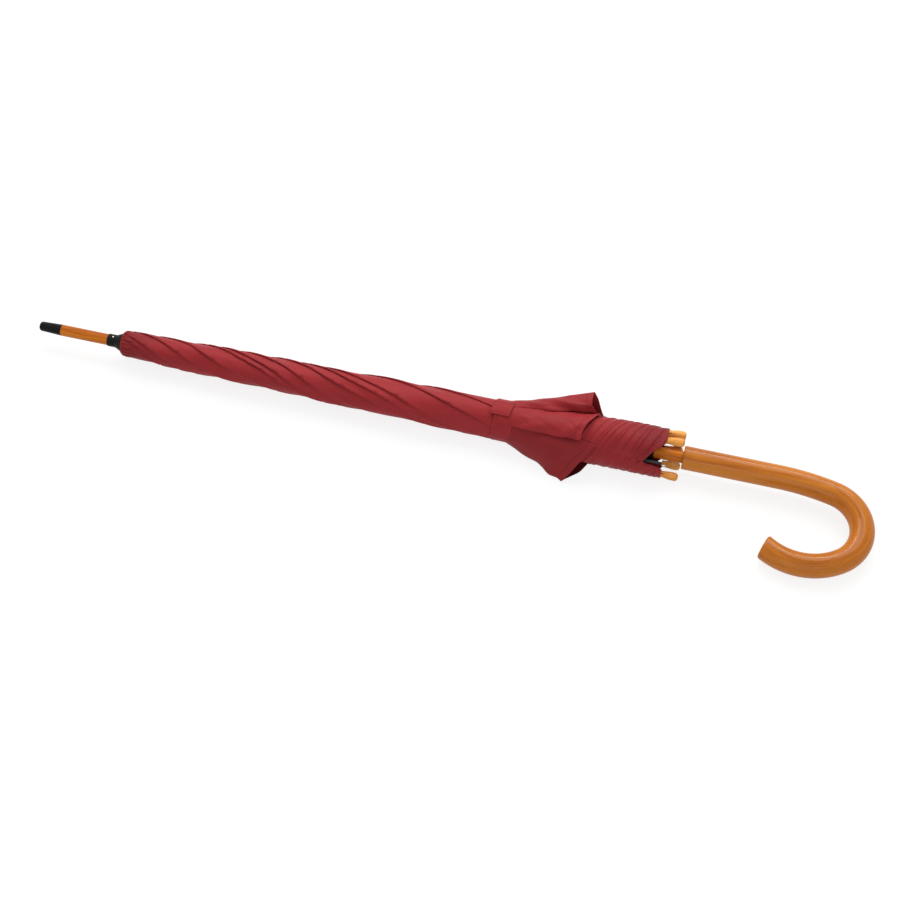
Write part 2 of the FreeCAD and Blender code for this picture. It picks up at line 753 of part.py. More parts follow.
def make_rib_tip(index):
    """The turned wooden tip on a rib's end, with a fork that the canopy's hem is sewn to."""
    label = f"rib_tip_{index + 1}"
    corners = [
        ("0", "dims.rib_pin_radius"),
        ("0", "dims.rib_tip_radius - dims.rib_tip_neck"),
        ("dims.rib_tip_fork_depth", "dims.rib_tip_radius - dims.rib_tip_neck"),
        ("dims.rib_tip_belly", "dims.rib_tip_radius"),
        ("dims.rib_tip_length", "dims.rib_tip_radius"),
        ("dims.rib_tip_length", "0"),
        ("dims.rib_pin_length", "0"),
        ("dims.rib_pin_length", "dims.rib_pin_radius"),
    ]
    body = turned(f"{label}_body", corners)
    length, radius = size("rib_tip_length"), size("rib_tip_radius")
    rounded(body, f"{label}_rounded", "dims.rib_tip_rounding",
            lambda e: is_circle(e, length, radius))
    reach = size("cutter_reach")
    fork = box(f"{label}_fork", "dims.rib_tip_fork_depth + dims.cutter_reach",
               "2 * (dims.rib_tip_radius + dims.cutter_reach)", "dims.rib_tip_fork_width",
               Vector(-reach, -radius - reach,
                      size("rib_pin_radius") + size("rib_tip_fork_wall")))
    end = rib_end_point(index)
    outwards = end - rib_bend_point()
    seat = Placement(end, Rotation(Vector(1, 0, 0), outwards))
    keep(cut(f"{label}_forked", body, fork), label, rib_frame(index).multiply(seat))


def make_stretcher(index):
    """A stretcher: a fork around the rib's lug, a bar, and an eye on the runner's wire."""
    label = f"stretcher_{index + 1}"
    arm, low = size("linkage_arm"), size("blade_half_height")
    width, thick, gap = size("fork_width"), size("blade_thickness"), size("fork_gap")
    back, blade = size("fork_back"), size("stretcher_blade_length")
    pieces = [
        crosswise_cylinder(f"{label}_fork_eye", "dims.eye_radius", "dims.fork_width",
                           Vector(), width / 2),
        box(f"{label}_bar", "dims.linkage_arm - dims.stretcher_bar_trim", "dims.fork_width",
            "2 * dims.blade_half_height", Vector(0, -width / 2, -low)),
        box(f"{label}_blade", "dims.stretcher_blade_length", "dims.blade_thickness",
            "2 * dims.blade_half_height", Vector(arm - blade, -thick / 2, -low)),
        crosswise_cylinder(f"{label}_eye", "dims.eye_radius", "dims.blade_thickness",
                           Vector(arm, 0, 0), thick / 2),
    ]
    cutters = [
        box(f"{label}_fork_gap", "dims.fork_depth + dims.fork_back", "dims.fork_gap",
            "2 * dims.fork_back", Vector(-back, -gap / 2, -back)),
        crosswise_cylinder(f"{label}_rivet_hole", "dims.rivet_hole_radius",
                           "dims.stretcher_drill_length", Vector(),
                           size("stretcher_drill_length") / 2),
        crosswise_cylinder(f"{label}_eye_hole", "dims.wire_hole_radius",
                           "dims.hinge_drill_length", Vector(arm, 0, 0),
                           size("hinge_drill_length") / 2),
    ]
    body = cut(f"{label}_cut", fused(f"{label}_solid", pieces), fused(f"{label}_cuts", cutters))
    keep(body, label, stretcher_frame(index))


def make_rivet(index):
    """The rivet through a rib's lug and its stretcher's fork, headed at both ends."""
    label = f"rivet_{index + 1}"
    play, head = size("rivet_play"), size("rivet_head_height")
    half = size("fork_width") / 2 + play
    pieces = [
        crosswise_cylinder(f"{label}_shank", "dims.rivet_radius",
                           "dims.fork_width + 4 * dims.rivet_play", Vector(), half + play),
    ]
    for side, place in (("left", half + head), ("right", -half)):
        pieces.append(crosswise_cylinder(
            f"{label}_{side}_head", "dims.rivet_head_radius", "dims.rivet_head_height",
            Vector(), place,
        ))
    frame = rib_frame(index).multiply(Placement(Vector(size("linkage_arm"), 0, 0), Rotation()))
    keep(fused(f"{label}_solid", pieces), label, frame)


# ---------------------------------------------------------------- rolled canopy and its strap

def roll_point(along, radius, azimuth):
    """A point of the rolled cloth. The surface underneath presses the roll flat."""
    angle = math.radians(azimuth)
    floor = size("axis_height") - size("floor_gap")
    if math.cos(angle) < 0:
        radius = min(radius, floor / -math.cos(angle))
    return Vector(along, -radius * math.sin(angle), radius * math.cos(angle))


def ring_piece(along, outer, thickness, first, last):
    """A closed wire around one slice of the roll, between two azimuths."""
    spread = [first + (last - first) * i / CLOTH_STEPS for i in range(CLOTH_STEPS + 1)]
    points = [roll_point(along, outer, a) for a in spread]
    for azimuth, skin in zip(reversed(spread), reversed(points)):
        across = Vector(0, skin.y, skin.z)
        points.append(skin - across.normalize() * thickness)
    return Part.makePolygon(points + points[:1])


def lofted(name, wires):
    """A solid with flat stretches through closed wires."""
    obj = doc.addObject("Part::Feature", name)
    obj.Shape = Part.makeLoft(wires, True, True)
    return obj


def make_gore(index):
    """One of the canopy's gores, folded up between two ribs as the roll's outside."""
    wires = []
    for along, outer in ROLL:
        gap = math.degrees(size("cloth_gap") / outer)
        first = rolled_rib_azimuth(index, along) + gap
        last = rolled_rib_azimuth(index + 1, along) - gap
        wires.append(ring_piece(along, outer, size("cloth_thickness"), first, last))
    keep(lofted(f"gore_{index + 1}_cloth", wires), f"canopy_gore_{index + 1}", about_axis(0))


def roll_radius(along):
    """The roll's outside radius at a distance from the ferrule's tip."""
    for (start, low), (end, high) in zip(ROLL, ROLL[1:]):
        if start <= along <= end:
            return low + (high - low) * (along - start) / (end - start)
    raise ValueError(f"the roll does not reach {along}")


def strap_layer(name, lift, thickness, trim):
    """A curved strip over the roll. lift is its height above the cloth, trim its shortening."""
    first = size("strap_first_azimuth") + trim
    last = size("strap_last_azimuth") - trim
    wires = []
    for side in (-1, 1):
        along = size("strap_place") + side * (size("strap_width") / 2 - trim / 2)
        outer = roll_radius(along) + lift + thickness
        wires.append(ring_piece(along, outer, thickness, first, last))
    return lofted(name, wires)


def make_strap():
    """The tie strap's closing tab, and the hook patch below it that it grips."""
    lift, thickness = size("patch_lift"), size("patch_thickness")
    patch = strap_layer("patch_cloth", lift, thickness, size("patch_trim"))
    keep(patch, "strap_hook_patch", about_axis(0))
    lift += thickness + size("strap_gap")
    keep(strap_layer("tab_cloth", lift, size("strap_thickness"), 0), "strap_tab", about_axis(0))


# ---------------------------------------------------------------- the whole umbrella

make_shaft()
make_ferrule()
make_handle()
make_cap()
make_notch()
make_runner()
for catch_side in ("upper", "lower"):
    make_catch(catch_side)
for number in range(RIB_COUNT):
    make_rib(number)
    make_rib_tip(number)
    make_stretcher(number)
    make_rivet(number)
    make_gore(number)
make_strap()
doc.recompute()

for item in doc.Objects:
    if {"Invalid", "Error"} & set(item.State):
        raise RuntimeError(f"{item.Label} failed: {item.State}")
for node in nodes:
    if node.Shape.isNull() or not node.Shape.isValid() or not node.Shape.Solids:
        raise RuntimeError(f"{node.Label} has no valid solid")

os.makedirs("parts", exist_ok=True)
whole = FreeCAD.BoundBox()
for node in nodes:
    whole.add(node.Shape.BoundBox)
    node.Shape.exportStep(f"parts/{node.Label}.step")
    print(node.Label, len(node.Shape.Solids), round(node.Shape.Volume, 2))
print("pieces", len(nodes))
print("X", round(whole.XMin, 2), round(whole.XMax, 2), "Y", round(whole.YMin, 2),
      round(whole.YMax, 2), "Z", round(whole.ZMin, 2), round(whole.ZMax, 2))
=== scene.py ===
import math

import bpy
import numpy as np
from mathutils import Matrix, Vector


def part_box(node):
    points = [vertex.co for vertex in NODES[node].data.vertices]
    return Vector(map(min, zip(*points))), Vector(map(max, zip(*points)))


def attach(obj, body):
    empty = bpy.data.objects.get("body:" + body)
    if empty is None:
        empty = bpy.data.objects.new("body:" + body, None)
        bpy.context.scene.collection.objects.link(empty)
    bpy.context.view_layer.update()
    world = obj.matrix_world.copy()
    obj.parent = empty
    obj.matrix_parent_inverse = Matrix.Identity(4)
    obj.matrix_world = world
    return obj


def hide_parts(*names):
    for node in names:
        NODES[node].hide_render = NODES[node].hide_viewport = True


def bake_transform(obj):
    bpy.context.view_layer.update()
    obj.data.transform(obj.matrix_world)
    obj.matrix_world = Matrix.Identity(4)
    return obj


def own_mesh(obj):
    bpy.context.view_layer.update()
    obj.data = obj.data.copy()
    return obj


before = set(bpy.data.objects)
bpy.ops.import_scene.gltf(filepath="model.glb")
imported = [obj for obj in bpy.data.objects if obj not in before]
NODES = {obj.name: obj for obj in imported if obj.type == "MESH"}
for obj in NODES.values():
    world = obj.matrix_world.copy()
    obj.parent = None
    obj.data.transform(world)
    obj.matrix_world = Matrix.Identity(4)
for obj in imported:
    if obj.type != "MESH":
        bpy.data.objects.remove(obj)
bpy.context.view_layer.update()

# The looks of a closed stick umbrella that lies on its side. Lengths below are in millimetres
# and become metres in place(). A spot on the umbrella is told by three numbers: along, its
# distance from the ferrule's tip along the shaft, its azimuth about the shaft, in degrees from
# straight up towards -Y, and its radius, the distance from the shaft's axis.

MM = 0.001
RIB_COUNT = 8


# ---------------------------------------------------------------- places, from the frame

FERRULE_LOW, FERRULE_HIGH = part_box("ferrule")
TIP_X = FERRULE_LOW.x
AXIS_Y = (FERRULE_LOW.y + FERRULE_HIGH.y) / 2
AXIS_Z = (FERRULE_LOW.z + FERRULE_HIGH.z) / 2
AXIS_HEIGHT = AXIS_Z / MM


def spot(point):
    """The along, azimuth and radius of a point of the frame."""
    side, height = (point.y - AXIS_Y) / MM, (point.z - AXIS_Z) / MM
    azimuth = math.degrees(math.atan2(-side, height))
    return (point.x - TIP_X) / MM, azimuth, math.hypot(side, height)


def middle(node):
    low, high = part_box(node)
    return (low + high) / 2


def place(along, azimuth, radius):
    """Points of the frame, in metres, for arrays or numbers of along, azimuth and radius."""
    angle = np.radians(azimuth)
    x = TIP_X + np.asarray(along) * MM
    y = AXIS_Y - np.asarray(radius) * np.sin(angle) * MM
    z = AXIS_Z + np.asarray(radius) * np.cos(angle) * MM
    x, y, z = np.broadcast_arrays(x, y, z)
    return np.stack([x, y, z], axis=-1)


def outward(azimuth):
    """The direction away from the shaft at this azimuth."""
    angle = math.radians(azimuth)
    return (0.0, -math.sin(angle), math.cos(angle))


HINGES = spot(middle("notch"))[0]
HEM_ON_TIP = 1.5        # how far over the start of a rib's tip the hem reaches
HEM = (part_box("rib_tip_2")[0].x - TIP_X) / MM + HEM_ON_TIP
STRAP_LOW, STRAP_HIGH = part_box("strap_tab")
STRAP_START = (STRAP_LOW.x - TIP_X) / MM
STRAP_END = (STRAP_HIGH.x - TIP_X) / MM
STRAP_MIDDLE = (STRAP_START + STRAP_END) / 2
HINGE_RADIUS = 7.0      # roughly how far out the ribs' hinges are; it only sets directions
RIB_BEND = 10.0         # from a rib's rivet to the start of its outer half
RIB_RISE = 3.2          # from a rib's rivet out to the rib's middle line


def rib_line(number):
    """A rolled rib's bend and tip: (along, side, height) from the shaft's axis."""
    rivet, tip = middle(f"rivet_{number}"), middle(f"rib_tip_{number}")
    along, azimuth, radius = spot(rivet)
    angle, radius = math.radians(azimuth), radius + RIB_RISE
    bend = (along + RIB_BEND, -radius * math.sin(angle), radius * math.cos(angle))
    end = ((tip.x - TIP_X) / MM, (tip.y - AXIS_Y) / MM, (tip.z - AXIS_Z) / MM)
    return np.array(bend), np.array(end)


RIB_LINES = [rib_line(number + 1) for number in range(RIB_COUNT)]


def rib_azimuth(index, along):
    """A rolled rib's azimuth at an array of places. It grows by 360 for each turn of indices."""
    turns, rib = divmod(index, RIB_COUNT)
    bend, end = RIB_LINES[rib]
    share = np.clip((along - bend[0]) / (end[0] - bend[0]), 0.0, 1.1)
    side = bend[1] + share * (end[1] - bend[1])
    height = bend[2] + share * (end[2] - bend[2])
    azimuth = np.degrees(np.arctan2(-side, height))
    nominal = math.degrees(math.atan2(-bend[1], bend[2]))
    first = math.degrees(math.atan2(-RIB_LINES[0][0][1], RIB_LINES[0][0][2]))
    expected = first + 360.0 * rib / RIB_COUNT
    azimuth = azimuth + 360.0 * np.round((expected - nominal) / 360.0)
    azimuth = azimuth + 360.0 * np.round((expected - azimuth) / 360.0)
    return azimuth + 360.0 * turns


FULLY_OPEN = 1.0996     # how far the ribs turn, in radians


def turned(point, azimuth, angle, centre=None):
    """A point or direction turned by angle about a rib's hinge, whose azimuth is in degrees."""
    pivot = np.zeros(3) if centre is None else np.asarray(centre, float)
    sideways = np.array([0.0, -math.cos(math.radians(azimuth)), -math.sin(math.radians(azimuth))])
    arm = np.asarray(point, float) - pivot
    along_axis = sideways * np.dot(sideways, arm)
    across = arm - along_axis
    return (pivot + along_axis + across * math.cos(angle)
            + np.cross(sideways, across) * math.sin(angle))


def rib_plane(index):
    """The nominal azimuth of a rib, and its hinge as (along, side, height)."""
    bend = RIB_LINES[index % RIB_COUNT][0]
    azimuth = math.degrees(math.atan2(-bend[1], bend[2]))
    side, height = outward(azimuth)[1:]
    return azimuth, np.array([HINGES, HINGE_RADIUS * side, HINGE_RADIUS * height])


def open_normal(index):
    """The direction, at rest, that faces squarely out of the open canopy beside this rib."""
    azimuth, hinge = rib_plane(index)
    tips = []
    for step in (-1, 1):
        side_azimuth, side_hinge = rib_plane(index + step)
        side_tip = RIB_LINES[(index + step) % RIB_COUNT][1]
        tips.append(turned(side_tip, side_azimuth, FULLY_OPEN, side_hinge))
    bend, tip = (turned(point, azimuth, FULLY_OPEN, hinge)
                 for point in RIB_LINES[index % RIB_COUNT])
    normal = np.cross(tip - bend, tips[1] - tips[0])
    normal /= np.linalg.norm(normal)
    if normal[0] > 0:
        normal = -normal
    normal = turned(normal, azimuth, -FULLY_OPEN)
    return tuple(float(value) for value in normal / np.linalg.norm(normal))


def under_rib(index, along, depth):
    """A place in metres that is this deep under a rib's middle line."""
    bend, tip = RIB_LINES[index % RIB_COUNT]
    share = (along - bend[0]) / (tip[0] - bend[0])
    line = bend + share * (tip - bend) - depth * np.array(open_normal(index))
    return (TIP_X + float(line[0]) * MM, AXIS_Y + float(line[1]) * MM,
            AXIS_Z + float(line[2]) * MM)


def smooth(value, low, high):
    share = np.clip((value - low) / (high - low), 0.0, 1.0)
    return share * share * (3 - 2 * share)


def bump(value, centre, width):
    return np.exp(-((value - centre) / width) ** 2)


# ---------------------------------------------------------------- materials

def srgb(red, green, blue):
    """A screen colour from 0 to 255 as the linear colour that shaders take."""
    def linear(value):
        value /= 255.0
        return value / 12.92 if value <= 0.04045 else ((value + 0.055) / 1.055) ** 2.4
    return (linear(red), linear(green), linear(blue), 1.0)


class Finish:
    """A material with a principled shader, and short ways to add nodes to it."""

    def __init__(self, name, roughness, specular=0.5, **sockets):
        self.material = bpy.data.materials.new(name)
        self.material.use_nodes = True
        self.tree = self.material.node_tree
        self.shader = self.tree.nodes["Principled BSDF"]
        self.shader.inputs["Roughness"].default_value = roughness
        self.shader.inputs["Specular IOR Level"].default_value = specular
        for socket, value in sockets.items():
            self.shader.inputs[socket.replace("_", " ")].default_value = value

    def put(self, socket, value):
        """Sets a socket, or links it if value is a node's output."""
        if isinstance(value, bpy.types.NodeSocket):
            self.tree.links.new(value, socket)
        else:
            socket.default_value = value

    def add(self, kind, inputs=None, output=0, **settings):
        """A node with its settings and inputs. Gives one of its outputs."""
        node = self.tree.nodes.new(kind)
        for name, value in settings.items():
            setattr(node, name, value)
        for key, value in (inputs or {}).items():
            self.put(node.inputs[key], value)
        return node.outputs[output]

    def position(self):
        return self.add("ShaderNodeTexCoord", output="Object")

    def math(self, operation, first, second=0.0, third=0.0):
        return self.add("ShaderNodeMath", {0: first, 1: second, 2: third}, operation=operation)

    def stretched(self, vector, scale):
        """Coordinates in which a texture's features are stretched along the small scales."""
        return self.add("ShaderNodeVectorMath", {0: vector, 1: scale}, operation="MULTIPLY")

    def noise(self, vector, scale, detail=2.0, roughness=0.5, distortion=0.0):
        return self.add(
            "ShaderNodeTexNoise",
            {"Vector": vector, "Scale": scale, "Detail": detail, "Roughness": roughness,
             "Distortion": distortion})

    def bands(self, vector, scale, direction, distortion=0.0):
        return self.add(
            "ShaderNodeTexWave", {"Vector": vector, "Scale": scale, "Distortion": distortion},
            output="Fac", wave_type="BANDS", bands_direction=direction)

    def ramp(self, factor, *stops):
        """A colour ramp through (place, colour) stops."""
        node = self.tree.nodes.new("ShaderNodeValToRGB")
        self.put(node.inputs["Fac"], factor)
        elements = node.color_ramp.elements
        while len(elements) < len(stops):
            elements.new(0.5)
        for element, (where, colour) in zip(elements, stops):
            element.position = where
            element.color = colour
        return node.outputs["Color"]

    def between(self, value, low, high, to_low=0.0, to_high=1.0):
        return self.add(
            "ShaderNodeMapRange",
            {"Value": value, "From Min": low, "From Max": high, "To Min": to_low,
             "To Max": to_high})

    def mix(self, factor, first, second, blend="MIX"):
        node = self.tree.nodes.new("ShaderNodeMix")
        node.data_type = "RGBA"
        node.blend_type = blend
        self.put(node.inputs["Factor"], factor)
        self.put(node.inputs["A"], first)
        self.put(node.inputs["B"], second)
        return node.outputs["Result"]

    def mark(self, name):
        """A number that the mesh carries at each of its points."""
        return self.add("ShaderNodeAttribute", output="Fac", attribute_name=name)

    def bump(self, height, distance, strength=1.0, normal=None):
        inputs = {"Height": height, "Distance": distance, "Strength": strength}
        if normal is not None:
            inputs["Normal"] = normal
        return self.add("ShaderNodeBump", inputs)

    def finish(self, colour, roughness=None, normal=None):
        self.put(self.shader.inputs["Base Color"], colour)
        if roughness is not None:
            self.put(self.shader.inputs["Roughness"], roughness)
        if normal is not None:
            self.put(self.shader.inputs["Normal"], normal)
        return self.material


def wood_finish(name, grain, dark, base, light, roughness, pores=0.5, specular=0.3,
                painted_end_shade=0.0, **sockets):
    """Varnished wood. grain makes the coordinates, in metres, with the grain along their X.
    The last argument is how strongly painted shade darkens the piece's far end."""
    finish = Finish(name, roughness, specular, **sockets)
    lines = grain(finish)
    broad = finish.noise(finish.stretched(lines, (5.0, 110.0, 110.0)), 1.0, 3.0, 0.55, 0.6)
    fine = finish.noise(finish.stretched(lines, (28.0, 900.0, 900.0)), 1.0, 4.0, 0.65)
    pore = finish.noise(finish.stretched(lines, (150.0, 2600.0, 2600.0)), 1.0, 1.0)
    tone = finish.math("ADD", finish.math("MULTIPLY", broad, 0.62),
                       finish.math("MULTIPLY", fine, 0.38))
    colour = finish.ramp(tone, (0.30, dark), (0.50, base), (0.70, light))
    pitted = finish.between(pore, 0.62, 0.72, 0.0, pores)
    shade = tuple(channel * 0.45 for channel in dark[:3]) + (1.0,)
    colour = finish.mix(pitted, colour, shade)
    # Painted shade: the far end of the piece, along its own length, is darkened.
    if painted_end_shade:
        lengthwise = finish.tree.nodes.new("ShaderNodeSeparateXYZ")
        own = finish.add("ShaderNodeTexCoord", output="Generated")
        finish.put(lengthwise.inputs[0], own)
        end_shade_mask = finish.between(lengthwise.outputs[0], 0.93, 0.985, 0.0, painted_end_shade)
        colour = finish.mix(end_shade_mask, colour, shade)
    polish = finish.between(broad, 0.3, 0.7, roughness * 0.8, roughness * 1.35)
    normal = finish.bump(fine, 0.00006, 0.5)
    return finish.finish(colour, polish, normal)


def straight_grain(finish):
    return finish.position()


# The crook's main bend: its radius, and its centre beside the shaft's axis.
CROOK_RADIUS = 40.4
CROOK_SIDE = 45.7
CROOK_START_ANGLE = 77.0
CROOK_DROOP = 5.43
HANDLE_RADIUS = 12.0
TAIL_START_ANGLE = -53.0
TAIL_END_ANGLE = -145.6
TAIL_END_RADIUS = 60.6
GRAIN_BLEND = 0.004             # over how many metres the grain changes from straight to bent
# The straight grain fades in between these, in metres beside the shaft's axis.
TAIL_SIDE, STEM_SIDE = -0.030, -0.022


def crook_grain(finish):
    """Grain that runs straight along the handle and then round its crook."""
    centre_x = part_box("handle")[1].x - (CROOK_RADIUS + HANDLE_RADIUS) * MM
    axis = (0.0, AXIS_Y, AXIS_Z)
    local = finish.add("ShaderNodeVectorMath", {0: finish.position(), 1: axis},
                       operation="SUBTRACT")
    flat = finish.add("ShaderNodeVectorRotate",
                      {"Vector": local, "Angle": -math.radians(CROOK_DROOP)},
                      rotation_type="X_AXIS")
    split = finish.tree.nodes.new("ShaderNodeSeparateXYZ")
    finish.put(split.inputs[0], flat)
    x, side, depth = split.outputs
    from_x = finish.math("SUBTRACT", x, centre_x)
    from_side = finish.math("ADD", side, CROOK_SIDE * MM)
    angle = finish.math("ARCTAN2", from_side, from_x)
    distance = finish.math(
        "SQRT", finish.math("ADD", finish.math("MULTIPLY", from_x, from_x),
                            finish.math("MULTIPLY", from_side, from_side)))
    centre_line = finish.between(
        angle, math.radians(TAIL_END_ANGLE), math.radians(TAIL_START_ANGLE),
        TAIL_END_RADIUS * MM, CROOK_RADIUS * MM)
    start = math.radians(CROOK_START_ANGLE)
    joint_x = centre_x + CROOK_RADIUS * MM * math.cos(start)
    travelled = finish.math(
        "MULTIPLY", finish.math("SUBTRACT", start, angle), CROOK_RADIUS * MM)
    bent = finish.add("ShaderNodeCombineXYZ", {
        0: finish.math("ADD", travelled, joint_x),
        1: finish.math("SUBTRACT", distance, centre_line), 2: depth})
    before_bend = finish.between(x, joint_x + GRAIN_BLEND, joint_x - GRAIN_BLEND)
    near_shaft = finish.between(side, TAIL_SIDE, STEM_SIDE)
    share = finish.math("MULTIPLY", before_bend, near_shaft)
    mixer = finish.tree.nodes.new("ShaderNodeMix")
    mixer.data_type = "VECTOR"
    finish.put(mixer.inputs["Factor"], share)
    finish.put(mixer.inputs[4], bent)
    finish.put(mixer.inputs[5], flat)
    return mixer.outputs[1]


def plastic_finish(name, colour, roughness, grit=0.35):
    """Moulded or enamelled black: faint orange peel, dust and scuffs."""
    finish = Finish(name, roughness, 0.09)
    here = finish.position()
    scuffs = finish.noise(finish.stretched(here, (260.0, 900.0, 900.0)), 1.0, 4.0, 0.7)
    worn = tuple(min(1.0, channel * 2.2 + 0.002) for channel in colour[:3]) + (1.0,)
    shade = finish.ramp(scuffs, (0.42, colour), (0.78, worn))
    polish = finish.between(scuffs, 0.3, 0.8, roughness * 0.8, roughness * 1.8)
    peel = finish.noise(here, 1500.0, 2.0)
    return finish.finish(shade, polish, finish.bump(peel, 0.00004, grit))


def metal_finish(name, colour, dark, roughness):
    """Drawn steel: fine lines along the shaft, tarnish in patches."""
    finish = Finish(name, roughness, 0.5, Metallic=0.9)
    here = finish.position()
    drawn = finish.noise(finish.stretched(here, (60.0, 2500.0, 2500.0)), 1.0, 3.0, 0.6)
    tarnish = finish.noise(here, 120.0, 4.0, 0.6)
    shade = finish.ramp(tarnish, (0.35, dark), (0.62, colour))
    polish = finish.between(drawn, 0.3, 0.7, roughness * 0.75, roughness * 1.4)
    return finish.finish(shade, polish, finish.bump(drawn, 0.00003, 0.6))


HEM_SEAM = 7.0          # from the hem to its row of stitches
CREASE_REACH = 0.003    # how near other cloth has to be, in metres, for the painted shade in a crease to show


def cloth_finish(name, dark, base, light, roughness):
    """Woven polyester: a fine plain weave, soft creases, and painted shade down in the folds."""
    finish = Finish(name, roughness, 0.11, Sheen_Weight=0.015, Sheen_Roughness=0.4)
    here = finish.position()
    tone = finish.noise(finish.stretched(here, (22.0, 60.0, 60.0)), 1.0, 3.0, 0.6)
    fibre = finish.noise(finish.stretched(here, (2400.0, 2400.0, 2400.0)), 1.0, 1.0)
    mixed = finish.math("ADD", finish.math("MULTIPLY", tone, 0.75),
                        finish.math("MULTIPLY", fibre, 0.25))
    colour = finish.ramp(mixed, (0.28, dark), (0.52, base), (0.78, light))
    # Painted shade: the crease mark darkens the cloth where other surfaces are near, and the shade
    # mark darkens it wherever it is set. The same dark colour draws the hem's stitches.
    shut_in = finish.add(
        "ShaderNodeAmbientOcclusion", {"Distance": CREASE_REACH}, output=1, samples=4)
    fold = finish.math("MULTIPLY", finish.mark("crease"), finish.between(shut_in, 0.995, 0.90))
    deep = tuple(channel * 0.24 for channel in dark[:3]) + (1.0,)
    colour = finish.mix(fold, colour, deep)
    colour = finish.mix(finish.mark("shade"), colour, deep)
    from_seam = finish.math("ABSOLUTE", finish.math("SUBTRACT", finish.mark("hem"), HEM_SEAM))
    seam = finish.between(from_seam, 0.8, 0.25)
    dashes = finish.between(finish.noise(here, 600.0, 0.0), 0.42, 0.52)
    stitches = finish.math("MULTIPLY", seam, dashes)
    colour = finish.mix(finish.math("MULTIPLY", stitches, 0.45), colour, deep)
    warp = finish.bands(here, 700.0, "X")
    weft = finish.bands(here, 700.0, "Y", 0.4)
    across = finish.bands(here, 700.0, "Z", 0.4)
    weave = finish.math("ADD", warp, finish.math("MULTIPLY", weft, across))
    creases = finish.noise(finish.stretched(here, (70.0, 190.0, 190.0)), 1.0, 4.0, 0.6, 0.8)
    normal = finish.bump(creases, 0.0012, 0.35)
    normal = finish.bump(weave, 0.00005, 0.35, normal)
    normal = finish.bump(finish.math("SUBTRACT", 1.0, seam), 0.0003, 0.6, normal)
    polish = finish.between(tone, 0.3, 0.7, roughness * 0.85, roughness * 1.15)
    return finish.finish(colour, polish, normal)


SHAFT_WOOD = wood_finish(
    "shaft_wood", straight_grain, srgb(120, 50, 2), srgb(198, 106, 12), srgb(222, 140, 34),
    0.36, 0.5, 0.10, Coat_Weight=0.15, Coat_Roughness=0.10)
HANDLE_WOOD = wood_finish(
    "handle_wood", crook_grain, srgb(150, 76, 6), srgb(188, 108, 18), srgb(202, 126, 36),
    0.36, 0.35, 0.10, Coat_Weight=0.32, Coat_Roughness=0.06)
# The tips' far ends get painted shade.
TIP_WOOD = wood_finish(
    "tip_wood", straight_grain, srgb(206, 122, 38), srgb(236, 162, 76), srgb(250, 196, 120),
    0.40, 0.4, 0.10, 0.5, Coat_Weight=0.20, Coat_Roughness=0.15)
BLACK_PLASTIC = plastic_finish("black_plastic", srgb(17, 17, 18), 0.34)
BLACK_ENAMEL = plastic_finish("black_enamel", srgb(13, 13, 13), 0.26, 0.25)
RIB_STEEL = metal_finish("rib_steel", srgb(92, 93, 95), srgb(52, 52, 54), 0.38)
BRIGHT_STEEL = metal_finish("bright_steel", srgb(205, 205, 200), srgb(150, 148, 142), 0.25)
CLOTH = cloth_finish(
    "canopy_cloth", srgb(137, 35, 39), srgb(149, 41, 45), srgb(157, 47, 51), 0.5)
STRAP_CLOTH = cloth_finish(
    "strap_cloth", srgb(126, 30, 34), srgb(144, 38, 42), srgb(156, 46, 50), 0.5)

NODE_MATERIALS = {
    "shaft": SHAFT_WOOD, "handle": HANDLE_WOOD, "ferrule": BLACK_ENAMEL, "top_cap": BLACK_PLASTIC,
    "top_cap_pin": BRIGHT_STEEL, "notch": BLACK_PLASTIC, "notch_wire": BRIGHT_STEEL,
    "runner": BLACK_PLASTIC, "runner_wire": BRIGHT_STEEL, "rib_tip": TIP_WOOD,
    "rivet": BRIGHT_STEEL, "rib": RIB_STEEL, "stretcher": RIB_STEEL,
    "upper_catch": BRIGHT_STEEL, "lower_catch": BRIGHT_STEEL,
    "upper_catch_pin": BRIGHT_STEEL, "lower_catch_pin": BRIGHT_STEEL,
    "crown_rosette": CLOTH, "canopy_gore": CLOTH, "strap_tab": STRAP_CLOTH,
    "strap_hook_patch": STRAP_CLOTH,
}
for node_name, node in NODES.items():
    kind = node_name.rstrip("0123456789").rstrip("_")
    node.data.materials.clear()
    node.data.materials.append(NODE_MATERIALS[kind])


# ---------------------------------------------------------------- cloth meshes

def sheet_mesh(name, points, material, marks=None, thickness=0.25):
    """A sheet of cloth from a grid of points, rows by columns, with a number mark per point."""
    rows, columns = points.shape[:2]
    mesh = bpy.data.meshes.new(name)
    index = np.arange(rows * columns).reshape(rows, columns)
    faces = np.stack([index[:-1, :-1], index[:-1, 1:], index[1:, 1:], index[1:, :-1]], axis=-1)
    mesh.from_pydata(points.reshape(-1, 3).tolist(), [], faces.reshape(-1, 4).tolist())
    for key, values in (marks or {}).items():
        attribute = mesh.attributes.new(key, "FLOAT", "POINT")
        attribute.data.foreach_set("value", values.astype(np.float32).ravel())
    mesh.shade_smooth()
    mesh.materials.append(material)
    obj = bpy.data.objects.new(name, mesh)
    bpy.context.scene.collection.objects.link(obj)
    solid = obj.modifiers.new("thickness", "SOLIDIFY")
    solid.thickness = thickness * MM
    solid.offset = 0.0
    solid.use_even_offset = False
    return obj


CANOPY_START = 94.9
# The rolled canopy's inner surface: (along, radius). The folds stand on it.
ROLL = [
    (CANOPY_START, 11.0), (95.6, 12.1), (97.0, 12.9), (99.0, 13.2), (112, 13.1), (125, 13.5),
    (176, 14.6), (272, 15.9), (370, 17.4), (450, 18.7), (490, 19.4), (520, 19.8),
    (560, 22.4), (600, 24.2), (650, 24.6), (680, 24.3),
]
# How high each fold's edge stands: (along, height).
FOLD_HEIGHT = [(94, 0.1), (102, 0.7), (130, 1.3), (190, 1.6), (440, 1.6), (490, 0.8), (560, 0.95)]

